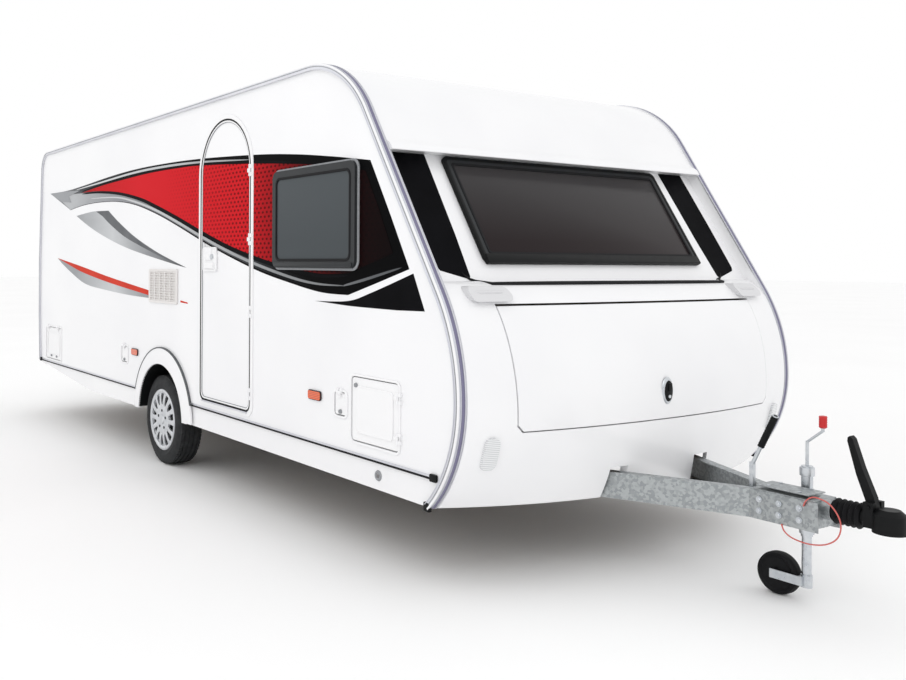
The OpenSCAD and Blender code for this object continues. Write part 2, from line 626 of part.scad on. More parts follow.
arm_x1 = hitch_len - 240;
arm_flange = 45;
arm_z = floor_z - rail_h + steel_t + 2 + arm_h / 2;
arm_a = [arm_x0, rail_y - steel_t - seat];
arm_b = [arm_bend_x, arm_end];
arm_c = [arm_x1, arm_end];
arm_n = let (v = unit(arm_b - arm_a)) [-v[1], v[0]];            // normal of the splayed stretch
arm_m = (arm_n + [0, 1]) / (1 + arm_n[1]);                      // mitre at the bend
// plan of a band along the left arm, from d0 to d1 outward of its inner face
function arm_band(d0, d1) = [arm_a + d0 * arm_n, arm_b + d0 * arm_m, arm_b + d1 * arm_m,
    arm_a + d1 * arm_n];
module drawbar() translate([0, 0, arm_z - arm_h / 2]) {
    linear_extrude(arm_h) polygon([arm_a, arm_b, arm_c, arm_c + [0, steel_t],
        arm_b + steel_t * arm_m, arm_a + steel_t * arm_n]);
    for (z = [0, arm_h - steel_t]) translate([0, 0, z])
        linear_extrude(steel_t) polygon(arm_band(-arm_flange, steel_t / 2));
}
module drawbar_right() color("silver") from_axle() mirror([0, 1, 0]) drawbar();
module drawbar_left() color("silver") from_axle() drawbar();

// ---- axle and wheels ----
wheel_y = track / 2;
arm_in = wheel_y - tyre_w / 2 - 95;  // inner face of a swing arm
stub_r = 20;
running = 0.05;                      // radial clearance of a running fit
swing = sqrt(tube_x * tube_x + pow(tube_z - tyre_r, 2));
module axle_beam() color("silver") from_axle() {
    translate([tube_x, arm_in + 5, tube_z]) rotate([90, 0, 0])
        cylinder(r = tube_r, h = 2 * arm_in + 10, $fn = 6);
    for (s = [-1, 1]) mirror([0, s < 0 ? 0 : 1, 0]) translate([0, -arm_in - 40, 0]) {
        translate([tube_x, 0, tube_z]) rotate([-90, 0, 0]) cylinder(r = 55, h = 40);
        translate([0, 0, tyre_r]) rotate([-90, 0, 0]) cylinder(r = 38, h = 40);
        translate([0, 0, tyre_r]) rotate([0, -atan((tube_z - tyre_r) / tube_x), 0])
            translate([0, 2, -34]) cube([swing, 36, 68]);
        translate([0, -100, tyre_r]) rotate([-90, 0, 0]) cylinder(r = stub_r, h = 110);
    }
}
// turns a profile drawn in radius and width about a wheel's own axis
module about_y(side, y = wheel_y) translate([0, side * y, 0]) rotate([side < 0 ? 90 : -90, 0, 0])
    children();
module tyre(side) translate([0, 0, tyre_r]) about_y(side) tyre_body();
module tyre_body() rotate_extrude($fn = 96) polygon([
    [rim_r - 12, -tyre_w / 2 + 24], [rim_r + 2, -tyre_w / 2 + 12], [rim_r + 50, -tyre_w / 2],
    [tyre_r - 30, -tyre_w / 2 + 6], [tyre_r - 8, -tyre_w / 2 + 22], [tyre_r, -tyre_w / 2 + 40],
    [tyre_r, tyre_w / 2 - 40], [tyre_r - 8, tyre_w / 2 - 22], [tyre_r - 30, tyre_w / 2 - 6],
    [rim_r + 50, tyre_w / 2], [rim_r + 2, tyre_w / 2 - 12], [rim_r - 12, tyre_w / 2 - 24]]);
module tyre_right() color("dimgray") from_axle() tyre(-1);
module tyre_left() color("dimgray") from_axle() tyre(1);
rim_t = 5;
drum_r = 120;
module wheel_disc(side) translate([0, 0, tyre_r]) about_y(side) {
    rotate_extrude($fn = 96) polygon([
        [rim_r - 12 - rim_t, -tyre_w / 2 + 20], [rim_r, -tyre_w / 2 + 8],
        [rim_r, -tyre_w / 2 + 11.7], [rim_r - 12 - seat, -tyre_w / 2 + 23.7],
        [rim_r - 12 - seat, tyre_w / 2 - 23.7], [rim_r, tyre_w / 2 - 11.7],
        [rim_r, tyre_w / 2 - 8], [rim_r - 12 - rim_t, tyre_w / 2 - 20]]);
    translate([0, 0, tyre_w / 2 - 40]) difference() {
        cylinder(r = rim_r - 13, h = 14, $fn = 96);
        for (i = [0:13]) rotate([0, 0, i * 360 / 14]) translate([95, -11, -1])
            cube([70, 22, 16]);
    }
    translate([0, 0, -tyre_w / 2 - 20]) difference() {
        cylinder(r = drum_r, h = tyre_w - 20 + 1);
        translate([0, 0, -1]) cylinder(r = stub_r + running, h = 76);
    }
}
module wheel_disc_right() color("silver") from_axle() wheel_disc(-1);
module wheel_disc_left() color("silver") from_axle() wheel_disc(1);

// ---- coupling ----
ball_r = 25.5;
house_x0 = arm_bend_x + 5;
house_x1 = hitch_len - 215;
house_z0 = arm_z - arm_h / 2 + 12;
house_h = 118;
house_half = arm_end - seat;
hitch_axis_z = hitch_z + 10;
module overrun_housing() color("silver") from_axle() {
    translate([house_x0, -house_half, house_z0]) cube([house_x1 - 40 - house_x0, 2 * house_half, house_h]);
    translate([house_x1 - 60, 0, hitch_axis_z]) rotate([0, 90, 0]) cylinder(r = 46, h = 60);
    for (y = [brake_y + seat, brake_y - 20 - 5 - seat])
        translate([brake_x - 24, y, brake_z - 24]) cube([house_x0 - brake_x + 34, 5, 48]);
    translate([brake_x, brake_y + 6, brake_z]) rotate([90, 0, 0]) cylinder(r = 8, h = 32);
}
bellows_len = 115;
bellows_r = 54;
module bellows() color("black") from_axle() translate([house_x1 + seat, 0, hitch_axis_z])
    rotate([0, 90, 0]) rotate_extrude() polygon(concat([[0, 0]],
        [for (i = [0:10]) [i % 2 == 0 ? bellows_r - 12 : bellows_r, bellows_len * i / 10]],
        [[0, bellows_len]]));
head_x = house_x1 + bellows_len + 2 * seat;
lever_x = hitch_len - 62;
lever_z = hitch_z + 62;
lever_lean = 18;
lever_half = 16;
slot_half = lever_half + 5;
module coupling_head() color("black") from_axle() {
    difference() {
        union() {
            translate([head_x, 0, hitch_axis_z]) rotate([0, 90, 0]) cylinder(r = 34, h = 60);
            translate([hitch_len, 0, hitch_z - 34]) cylinder(r = head_nose, h = 74);
            translate([hitch_len, 0, hitch_z + 40]) cylinder(r1 = head_nose, r2 = 40, h = 20);
            translate([head_x + 20, -44, hitch_z - 22]) cube([hitch_len - head_x - 20, 88, 62]);
            translate([lever_x - 20, -44, hitch_z]) cube([40, 88, 80]);
        }
        translate([hitch_len, 0, hitch_z - 40]) cylinder(r = ball_r, h = 52);
        translate([head_x - 1, -slot_half, hitch_z + 34]) cube([lever_x + 30 - head_x, 2 * slot_half, 60]);
    }
    translate([lever_x, -50, lever_z]) rotate([-90, 0, 0]) cylinder(r = 8, h = 100);
}
module stabiliser_lever() color("black") from_axle() translate([lever_x, 0, lever_z])
    rotate([0, -lever_lean, 0]) difference() {
        translate([0, lever_half, 0]) rotate([90, 0, 0]) linear_extrude(2 * lever_half)
            polygon([[-16, -14], [16, -14], [20, 30], [10, 150], [8, 270], [0, 284], [-10, 280],
                [-16, 266], [-22, 130], [-18, 40]]);
        translate([0, -60, 0]) rotate([-90, 0, 0]) cylinder(r = 8 + running, h = 120);
    }
brake_x = 3905;
brake_z = arm_z + 40;
brake_y = -8;
brake_grip = 250;
module handbrake_lever() color("silver") from_axle() translate([brake_x, brake_y, brake_z]) {
    difference() {
        union() {
            rotate([90, 0, 0]) cylinder(r = 17, h = 20);
            translate([-9, -20, 0]) cube([18, 20, 130]);
            translate([0, -10, 120]) rotate([0, 25, 0]) cylinder(r = 9, h = brake_grip);
        }
        translate([0, 1, 0]) rotate([90, 0, 0]) cylinder(r = 8 + running, h = 22);
    }
    translate([0, -10, 120]) rotate([0, 25, 0]) translate([0, 0, brake_grip - 160])
        cylinder(r = 14, h = 165);
}

// ---- jockey wheel ----
jockey_y = arm_end + steel_t + jockey_tube_r + 3;    // outside the left arm
jockey_top = 600;
crank_rise = 105;                    // the crank's spindle above the tube
crank_len = 90;
crank_a = 50;                        // the crank leans forward from the upright
jockey_foot = 290;
inner_r = jockey_tube_r - 4;
jockey_back = jockey_r + jockey_tube_r + gap;        // wheel centre behind the tube
module at_jockey() translate([jockey_len, jockey_y, 0]) children();
module jockey_outer_tube() color("silver") from_axle() at_jockey() {
    difference() {
        translate([0, 0, jockey_foot]) cylinder(r = jockey_tube_r, h = jockey_top - jockey_foot);
        translate([0, 0, jockey_foot - 1]) cylinder(r = inner_r, h = jockey_top - jockey_foot - 20);
    }
    difference() {
        translate([-45, -jockey_y + 20, arm_z - arm_h / 2 - 16]) cube([90, jockey_y + 14, 16 - seat]);
        translate([0, 0, 200]) cylinder(r = jockey_tube_r - 1, h = 300);
    }
    translate([0, 0, jockey_top - 1]) cylinder(r = 7, h = crank_rise + 5);
    translate([0, 0, jockey_top + crank_rise]) rotate([0, crank_a, 0]) cylinder(r = 6, h = crank_len);
    translate([crank_len * sin(crank_a), 0, jockey_top + crank_rise + crank_len * cos(crank_a) - 4]) {
        cylinder(r = 7, h = 20);
        translate([0, 0, 18]) cylinder(r = 14, h = 50);
    }
}
inner_top = 375;
module jockey_inner_tube() color("silver") from_axle() at_jockey()
    translate([0, 0, jockey_r + 25]) cylinder(r = inner_r - running, h = inner_top - jockey_r - 25);
fork_t = 6;
fork_y = 40;
module jockey_fork() color("silver") from_axle() at_jockey() {
    translate([0, 0, jockey_r - 30]) cylinder(r = jockey_tube_r, h = 55 - seat);
    for (s = [-1, 1]) translate([-jockey_back - 22, s * fork_y - fork_t / 2, jockey_r - 20])
        cube([jockey_back + 22, fork_t, 40]);
    translate([-20, -fork_y, jockey_r - 20]) cube([20, 2 * fork_y, 40]);
    translate([-jockey_back, fork_y, jockey_r]) rotate([90, 0, 0]) cylinder(r = 8, h = 2 * fork_y);
}
module jockey_wheel() color("black") from_axle() at_jockey()
    translate([-jockey_back, 0, jockey_r]) rotate([90, 0, 0]) rotate_extrude($fn = 96)
        polygon([[8 + running, -34], [22, -34], [26, -22], [jockey_r - 24, -22],
            [jockey_r - 14, -30], [jockey_r - 4, -24], [jockey_r, -10], [jockey_r, 10],
            [jockey_r - 4, 24], [jockey_r - 14, 30], [jockey_r - 24, 22], [26, 22], [22, 34],
            [8 + running, 34]]);

// ---- corner steadies ----
steady_len = 430;
steady_y = rail_y + 130;
steady_z = floor_z - 42;
steady_rear_x = rear_x + 300;
steady_front_x = 2600;
// dir = 1 when the folded leg points forward, -1 when it points back
module steady(x, y, dir) translate([x, y, steady_z]) mirror([dir < 0 ? 1 : 0, 0, 0]) {
    rotate([90, 0, 0]) translate([0, 0, -22]) difference() {
        cylinder(r = 16, h = 44);
        translate([0, 0, -1]) cylinder(r = 8 + running, h = 46);
    }
    translate([14, -18, -16]) cube([steady_len - 60, 36, 30]);
    translate([steady_len - 60, -40, -18]) cube([60, 80, 34]);
}
module steady_brackets() color("silver") from_axle()
    for (x = [steady_rear_x, steady_front_x], s = [-1, 1]) translate([x, s * steady_y, steady_z]) {
        rotate([90, 0, 0]) translate([0, 0, -36]) cylinder(r = 8, h = 72);
        for (y = [-36, 30]) translate([-24, y, -14]) cube([48, 6, floor_z - steady_z + 14 - seat]);
        translate([-24, -36, floor_z - steady_z - 8]) cube([48, 72, 8 - seat]);
    }
module steady_rear_right() color("silver") from_axle() steady(steady_rear_x, -steady_y, 1);
module steady_rear_left() color("silver") from_axle() steady(steady_rear_x, steady_y, 1);
module steady_front_right() color("silver") from_axle() steady(steady_front_x, -steady_y, -1);
module steady_front_left() color("silver") from_axle() steady(steady_front_x, steady_y, -1);

// ---- breakaway cable ----
cable_r = 3;
cable_route = [[4180, -88.5, 470], [4200, -100, 500], [4240, -112, 522], [4300, -118, 512],
    [4340, -118, 470], [4350, -114, 420], [4330, -110, 370], [4280, -106, 335],
    [4210, -102, 320], [4140, -98, 326], [4100, -92, 345], [4085, -88.5, 372]];
// a smooth curve through the route's points
function spline(p, i, t) = let (a = p[max(i - 1, 0)], b = p[i], c = p[i + 1],
    d = p[min(i + 2, len(p) - 1)])
    0.5 * (2 * b + (c - a) * t + (2 * a - 5 * b + 4 * c - d) * t * t
        + (3 * b - a - 3 * c + d) * t * t * t);
function route(p, n) = concat([for (i = [0:len(p) - 2]) for (k = [0:n - 1]) spline(p, i, k / n)],
    [p[len(p) - 1]]);
function unit(v) = v / norm(v);
module tube(path, r, sides) {
    n = len(path);
    function dir(i) = unit(path[min(i + 1, n - 1)] - path[max(i - 1, 0)]);
    function side_of(i) = unit(cross(dir(i), [0, 1, 0.01]));
    pts = [for (i = [0:n - 1]) for (k = [0:sides - 1])
        let (u = side_of(i), v = cross(dir(i), u), a = 360 * k / sides)
        path[i] + r * (cos(a) * u + sin(a) * v)];
    polyhedron(pts, concat([[for (k = [0:sides - 1]) k]],
        [for (i = [0:n - 2]) for (k = [0:sides - 1]) let (m = (k + 1) % sides)
            [i * sides + k, (i + 1) * sides + k, (i + 1) * sides + m, i * sides + m]],
        [[for (k = [sides - 1:-1:0]) (n - 1) * sides + k]]));
}
module breakaway_cable() color("red") from_axle() tube(route(cable_route, 4), cable_r, 8);

chassis_rail_right();
chassis_rail_left();
cross_members();
drawbar_right();
drawbar_left();
axle_beam();
tyre_right();
tyre_left();
wheel_disc_right();
wheel_disc_left();
floor_panel();
side_wall_right();
side_wall_left();
rear_wall();
roof_panel();
front_cap();
front_window_panel();
nose_panel();
locker_bulkhead();
locker_lid();
skirt_right();
skirt_left();
wheel_arch_right();
wheel_arch_left();
corner_rail_right();
corner_rail_left();
entrance_door();
window_frames();
window_panes();
rooflight_frame();
rooflight_lid();
gas_hatch();
rear_hatch();
cassette_hatch();
mains_flap();
water_flap();
vent_grille();
rear_lamps();
rear_bumper();
grab_handles();
front_lamps();
side_markers();
overrun_housing();
bellows();
coupling_head();
stabiliser_lever();
handbrake_lever();
jockey_outer_tube();
jockey_inner_tube();
jockey_fork();
jockey_wheel();
steady_brackets();
steady_rear_right();
steady_rear_left();
steady_front_right();
steady_front_left();
breakaway_cable();
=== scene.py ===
"""A single-axle travel caravan, dressed in its real finishes around its fixed frame."""

import math

import bmesh
import bpy
from bpy.props import FloatProperty, FloatVectorProperty, IntProperty, PointerProperty, StringProperty
from mathutils import Matrix, Vector


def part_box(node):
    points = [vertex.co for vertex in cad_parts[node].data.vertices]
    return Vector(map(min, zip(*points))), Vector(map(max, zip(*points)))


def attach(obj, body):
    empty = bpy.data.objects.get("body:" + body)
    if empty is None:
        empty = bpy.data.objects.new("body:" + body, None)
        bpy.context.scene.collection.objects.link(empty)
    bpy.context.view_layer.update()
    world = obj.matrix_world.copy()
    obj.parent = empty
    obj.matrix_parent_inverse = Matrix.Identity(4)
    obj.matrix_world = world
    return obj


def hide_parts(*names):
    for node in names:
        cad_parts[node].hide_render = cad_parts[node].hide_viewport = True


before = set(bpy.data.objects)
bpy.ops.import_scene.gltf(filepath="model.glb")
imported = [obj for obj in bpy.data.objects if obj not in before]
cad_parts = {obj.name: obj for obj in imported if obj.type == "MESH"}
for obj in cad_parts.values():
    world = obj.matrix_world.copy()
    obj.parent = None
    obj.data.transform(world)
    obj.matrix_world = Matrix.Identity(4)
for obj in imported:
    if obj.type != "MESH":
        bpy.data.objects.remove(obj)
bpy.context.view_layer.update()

bl_info = {
    "name": "Travel caravan",
    "version": (1, 0, 0),
    "blender": (4, 5, 0),
    "location": "3D View > Sidebar > Caravan",
    "description": "Builds the skins, trim, glass, wheels and hitch of a travel caravan",
    "category": "Object",
}

# ---- places taken from the frame: X forward, Y to the left, Z up, in metres ----
tyre_lo, tyre_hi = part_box("tyre_right")
AXLE_X = (tyre_lo.x + tyre_hi.x) / 2
TYRE_R = (tyre_hi.z - tyre_lo.z) / 2
TYRE_W = tyre_hi.y - tyre_lo.y
TRACK = -(tyre_lo.y + tyre_hi.y)
SEAT = 0.0003
WALL_Y = -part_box("corner_rail_right")[1].y - SEAT
ROOF_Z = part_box("roof_panel")[1].z
IN_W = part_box("roof_panel")[1].y
REAR_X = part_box("rear_wall")[0].x - AXLE_X
FILM = 0.0006  # thickness of a printed film
SIDE_NAME = {-1: "right", 1: "left"}


def at(x, y, z):
    """A point in the frame, with X counted forward from the axle."""
    return Vector((AXLE_X + x, y, z))


# ======================================================================
# sizes and colours a user would change
# ======================================================================
def colour_prop(name, text, value):
    return StringProperty(name=name, description=text, default=value)


class CaravanPaint(bpy.types.PropertyGroup):
    """Colours of the caravan, as sRGB hex values."""

    skin: colour_prop("Skin", "White of the aluminium skins", "F4F4F5")
    moulding: colour_prop("Moulding", "White of the glass-fibre mouldings", "F3F3F4")
    red: colour_prop("Graphic red", "Red field of the side graphic", "CE1C24")
    black: colour_prop("Graphic black", "Black bands of the side graphic", "08080A")
    silver: colour_prop("Graphic silver", "Silver sweeps of the side graphic", "A3A5A8")
    frame_grey: colour_prop("Window frame", "Dark grey of the window frames", "2E3032")
    side_glass: colour_prop("Side glass", "Tint of the side panes with their blinds down", "484D50")
    front_glass: colour_prop("Front glass", "Tint of the front pane", "2A2425")
    rail_insert: colour_prop("Rail insert", "Violet grey strip in the corner rails", "77748F")
    amber: colour_prop("Amber lens", "Side marker lenses", "F0600A")
    red_lens: colour_prop("Red lens", "Rear lamp lenses", "B4060C")


class CaravanSizes(bpy.types.PropertyGroup):
    """Sizes of the trim that stands on the frame."""

    dot_pitch: FloatProperty(
        name="Mesh pitch", description="Spacing of the dark mesh printed on the red field",
        default=0.048, min=0.02, max=0.1, unit="LENGTH")
    door_trim: FloatProperty(
        name="Door trim", description="Width of the white trim round the doorway",
        default=0.032, min=0.01, max=0.06, unit="LENGTH")
    spokes: IntProperty(
        name="Spokes", description="Spokes of a wheel trim", default=14, min=6, max=24)
    tread_blocks: IntProperty(
        name="Tread blocks", description="Blocks in one row round a tyre", default=68, min=30, max=120)
    rail_strip: FloatProperty(
        name="Rail strip", description="Width of the coloured strip in a corner rail",
        default=0.0205, min=0.01, max=0.022, unit="LENGTH")


class StageLook(bpy.types.PropertyGroup):
    """Floor, light and camera."""

    floor: colour_prop("Floor", "Pale floor", "FCFCFC")
    sky: colour_prop("Sky", "Soft surrounding light", "FFFFFF")
    sky_strength: FloatProperty(name="Sky strength", description="Strength of the soft light",
                                default=1.0, min=0.0, max=4.0)
    key_power: FloatProperty(name="Key power", description="Power of the large soft lamp",
                             default=220.0, min=0.0, max=8000.0, unit="POWER")
    camera_place: FloatVectorProperty(
        name="Camera place", description="Camera ahead of the axle, across and above the ground",
        default=(6.437, -3.973, 1.477), size=3, subtype="TRANSLATION", unit="LENGTH")
    camera_yaw: FloatProperty(name="Camera yaw", description="Compass angle of the view",
                              default=math.radians(148.36), subtype="ANGLE", unit="ROTATION")
    camera_roll: FloatProperty(name="Camera roll", description="Tilt of the view",
                               default=math.radians(0.31), subtype="ANGLE", unit="ROTATION")
    lens: FloatProperty(name="Lens", description="Focal length on a 36 mm sensor",
                        default=37.4, min=10, max=200, unit="CAMERA")
    shift: FloatVectorProperty(name="Shift", description="Rising front of the lens, as a share of the width",
                               default=(0.169, -0.084), size=2)


def paint():
    return bpy.context.scene.caravan_paint


def sizes():
    return bpy.context.scene.caravan_sizes


# ======================================================================
# materials
# ======================================================================
def linear(text, alpha=1.0):
    """sRGB hex text to linear colour."""
    parts = [int(text[i:i + 2], 16) / 255 for i in (0, 2, 4)]
    return (*(c / 12.92 if c <= 0.04045 else ((c + 0.055) / 1.055) ** 2.4 for c in parts), alpha)


def add(tree, kind, links=None, **settings):
    """Adds a node with its settings, and links its inputs by name or number."""
    made = tree.nodes.new(kind)
    for key, value in settings.items():
        setattr(made, key, value)
    for key, source in (links or {}).items():
        socket = made.inputs[key]
        if isinstance(source, bpy.types.NodeSocket):
            tree.links.new(source, socket)
        else:
            socket.default_value = source
    return made


def new_material(name, hex_colour, **values):
    """A material whose shader has the given values, with its tree and shader."""
    made = bpy.data.materials.new(name)
    made.use_nodes = True
    tree = made.node_tree
    shader = next(n for n in tree.nodes if n.type == "BSDF_PRINCIPLED")
    shader.inputs["Base Color"].default_value = linear(hex_colour)
    for key, value in values.items():
        shader.inputs[key].default_value = value
    made.diffuse_color = linear(hex_colour)
    return made, tree, shader


def place_mm(tree):
    """The point in millimetres, in the frame's own axes."""
    where = add(tree, "ShaderNodeTexCoord")
    return add(tree, "ShaderNodeVectorMath", {0: where.outputs["Object"], 1: (1000, 1000, 1000)},
               operation="MULTIPLY").outputs[0]


def noise(tree, size_mm, detail=3, stretch=(1, 1, 1)):
    """Noise whose features are about size_mm across."""
    scaled = add(tree, "ShaderNodeVectorMath",
                 {0: place_mm(tree), 1: tuple(s / size_mm for s in stretch)}, operation="MULTIPLY")
    return add(tree, "ShaderNodeTexNoise", {"Vector": scaled.outputs[0], "Scale": 1.0, "Detail": detail})


def ramp(tree, source, stops, mode="LINEAR"):
    """A colour ramp over (place, hex colour) stops."""
    made = add(tree, "ShaderNodeValToRGB", {"Fac": source})
    made.color_ramp.interpolation = mode
    points = made.color_ramp.elements
    while len(points) < len(stops):
        points.new(0.5)
    for point, (place, text) in zip(points, stops):
        point.position = place
        point.color = linear(text)
    return made.outputs["Color"]


def math_node(tree, operation, first, second=None, third=None):
    links = {0: first}
    if second is not None:
        links[1] = second
    if third is not None:
        links[2] = third
    return add(tree, "ShaderNodeMath", links, operation=operation).outputs[0]


def bump(tree, shader, height, depth_mm, strength=1.0):
    """Bump of the given depth from a 0 to 1 height."""
    made = add(tree, "ShaderNodeBump", {"Height": height, "Distance": depth_mm / 1000,
                                        "Strength": strength})
    tree.links.new(made.outputs["Normal"], shader.inputs["Normal"])
    return made


def rough_from(tree, shader, source, low, high):
    spread = add(tree, "ShaderNodeMapRange", {"Value": source, "To Min": low, "To Max": high})
    tree.links.new(spread.outputs["Result"], shader.inputs["Roughness"])


def tint_from(tree, shader, source, first, second):
    colour = ramp(tree, source, [(0.25, first), (0.75, second)])
    tree.links.new(colour, shader.inputs["Base Color"])


def lacquered_sheet(name, hex_colour, shade):
    """Coil-coated aluminium sheet: a hard gloss with the faint waviness of a bonded skin."""
    made, tree, shader = new_material(name, hex_colour, **{
        "Roughness": 0.28, "Coat Weight": 0.35, "Coat Roughness": 0.08})
    tint_from(tree, shader, noise(tree, 900, 2).outputs["Fac"], hex_colour, shade)
    bump(tree, shader, noise(tree, 180, 2).outputs["Fac"], 0.5, 0.35)
    return made


def gelcoat(name, hex_colour, shade):
    """Sprayed gelcoat on glass fibre: glossy, with a slight orange peel."""
    made, tree, shader = new_material(name, hex_colour, **{
        "Roughness": 0.3, "Coat Weight": 0.5, "Coat Roughness": 0.1})
    tint_from(tree, shader, noise(tree, 700, 2).outputs["Fac"], hex_colour, shade)
    bump(tree, shader, noise(tree, 14, 3).outputs["Fac"], 0.12, 0.4)
    return made


def moulded_plastic(name, hex_colour, roughness, grain_mm=1.6, depth_mm=0.08, shine=0.5):
    """Injection-moulded plastic: an even satin with a spark-eroded grain, drawn coarse enough to show."""
    made, tree, shader = new_material(name, hex_colour, **{
        "Roughness": roughness, "Specular IOR Level": shine})
    grain = noise(tree, grain_mm, 3).outputs["Fac"]
    bump(tree, shader, grain, depth_mm, 0.5)
    rough_from(tree, shader, noise(tree, 60, 3).outputs["Fac"], roughness - 0.06, roughness + 0.08)
    return made


def galvanised():
    """Hot-dip galvanised steel: dull grey zinc, with the patchwork of its crystals, 12 mm across."""
    made, tree, shader = new_material("galvanised_steel", "B4B8B9", Metallic=1.0, Roughness=0.42)
    scaled = add(tree, "ShaderNodeVectorMath", {0: place_mm(tree), 1: (1 / 12,) * 3}, operation="MULTIPLY")
    cells = add(tree, "ShaderNodeTexVoronoi", {"Vector": scaled.outputs[0], "Scale": 1.0})
    shade = add(tree, "ShaderNodeSeparateColor", {"Color": cells.outputs["Color"]})
    tint_from(tree, shader, shade.outputs[0], "9A9EA0", "B2B6B7")
    rough_from(tree, shader, shade.outputs[1], 0.4, 0.5)
    bump(tree, shader, noise(tree, 5, 3).outputs["Fac"], 0.15, 0.4)
    return made


def bright_zinc():
    """Electroplated zinc on tube and pressings: brighter and smoother than hot-dip, faintly blue."""
    made, tree, shader = new_material("bright_zinc_plate", "C9CDD2", Metallic=1.0, Roughness=0.28)
    patches = noise(tree, 35, 4).outputs["Fac"]
    tint_from(tree, shader, patches, "BCC1C7", "D6D9DC")
    rough_from(tree, shader, patches, 0.2, 0.38)
    return made


def anodised():
    """Extruded aluminium, satin anodised: fine draw lines run along the rail."""
    made, tree, shader = new_material("satin_anodised_aluminium", "D3D4DA", Metallic=1.0, Roughness=0.3)
    lines = noise(tree, 2.5, 2, (1, 8, 1)).outputs["Fac"]
    rough_from(tree, shader, lines, 0.24, 0.36)
    tint_from(tree, shader, noise(tree, 300, 2).outputs["Fac"], "CDCED5", "DCDDE2")
    return made


def silver_lacquer():
    """Aluminium-flake lacquer under clear coat, on steel wheels and their plastic trims."""
    made, tree, shader = new_material("silver_flake_lacquer", "B9BCC1", **{
        "Metallic": 0.75, "Roughness": 0.36, "Coat Weight": 0.5, "Coat Roughness": 0.12})
    flakes = noise(tree, 1.2, 2).outputs["Fac"]
    rough_from(tree, shader, flakes, 0.3, 0.44)
    tint_from(tree, shader, noise(tree, 50, 2).outputs["Fac"], "C0C3C7", "D4D6D9")
    return made


def tyre_rubber():
    """Vulcanised rubber of a road tyre: matt black that greys a little where it is dusty."""
    made, tree, shader = new_material("vulcanised_tyre_rubber", "2A2B2C", **{
        "Roughness": 0.75, "Specular IOR Level": 0.2})
    dust = noise(tree, 40, 4).outputs["Fac"]
    tint_from(tree, shader, dust, "242527", "393A3B")
    rough_from(tree, shader, dust, 0.62, 0.85)
    bump(tree, shader, noise(tree, 2.5, 3).outputs["Fac"], 0.2, 0.4)
    return made


def soft_rubber(name, hex_colour, shade):
    """Moulded rubber of seals, bellows and the solid small wheel: matt, with a faint bloom."""
    made, tree, shader = new_material(name, hex_colour, **{"Roughness": 0.6, "Specular IOR Level": 0.15})
    bloom = noise(tree, 22, 4).outputs["Fac"]
    tint_from(tree, shader, bloom, hex_colour, shade)
    rough_from(tree, shader, bloom, 0.5, 0.75)
    bump(tree, shader, noise(tree, 1.8, 2).outputs["Fac"], 0.1, 0.4)
    return made


def tinted_acrylic(name, hex_colour, shade):
    """Double acrylic pane with a blind behind it: a smooth gloss over its tint, lightened towards the top by a
    painted reflection of the sky.
    """
    made, tree, shader = new_material(name, hex_colour, **{
        "Roughness": 0.2, "IOR": 1.49, "Specular IOR Level": 0.06})
    where = add(tree, "ShaderNodeSeparateXYZ", {0: place_mm(tree)})
    height = add(tree, "ShaderNodeMapRange", {"Value": where.outputs["Z"], "From Min": 1450.0,
                                              "From Max": 2050.0})
    # painted reflection: the tint runs from the first colour low on the pane to the lighter second colour at its top
    tint_from(tree, shader, height.outputs["Result"], hex_colour, shade)
    rough_from(tree, shader, noise(tree, 400, 2).outputs["Fac"], 0.1, 0.2)
    return made


def lens(name, hex_colour, shade):
    """Moulded acrylic lens over fine ribs 4 mm apart, with painted shade darkening the trough of each rib."""
    made, tree, shader = new_material(name, hex_colour, **{
        "Roughness": 0.12, "IOR": 1.49, "Coat Weight": 0.6, "Coat Roughness": 0.05})
    where = add(tree, "ShaderNodeSeparateXYZ", {0: place_mm(tree)})
    ribs = math_node(tree, "SINE", math_node(tree, "MULTIPLY", where.outputs["Z"], math.tau / 9))
    wide = add(tree, "ShaderNodeMapRange", {"Value": ribs, "From Min": -1.0})
    # painted shade: the troughs of the ribs take the darker shade colour, the crests the lens colour
    tint_from(tree, shader, wide.outputs["Result"], shade, hex_colour)
    bump(tree, shader, wide.outputs["Result"], 0.6, 0.5)
    return made


def milky_acrylic():
    """Blown acrylic dome of the rooflight: translucent white."""
    made, tree, shader = new_material("milky_acrylic", "E4E6E8", **{
        "Roughness": 0.22, "IOR": 1.49, "Subsurface Weight": 0.25})
    tint_from(tree, shader, noise(tree, 120, 2).outputs["Fac"], "DEE0E2", "EAECED")
    return made


def sealed_plywood():
    """Birch plywood with a dark sealer: long soft grain along the body."""
    made, tree, shader = new_material("sealed_birch_plywood", "6B5640", Roughness=0.55)
    grain = noise(tree, 26, 5, (0.06, 1, 1)).outputs["Fac"]
    tint_from(tree, shader, grain, "4E3D2C", "7C664C")
    bump(tree, shader, grain, 0.3, 0.5)
    return made


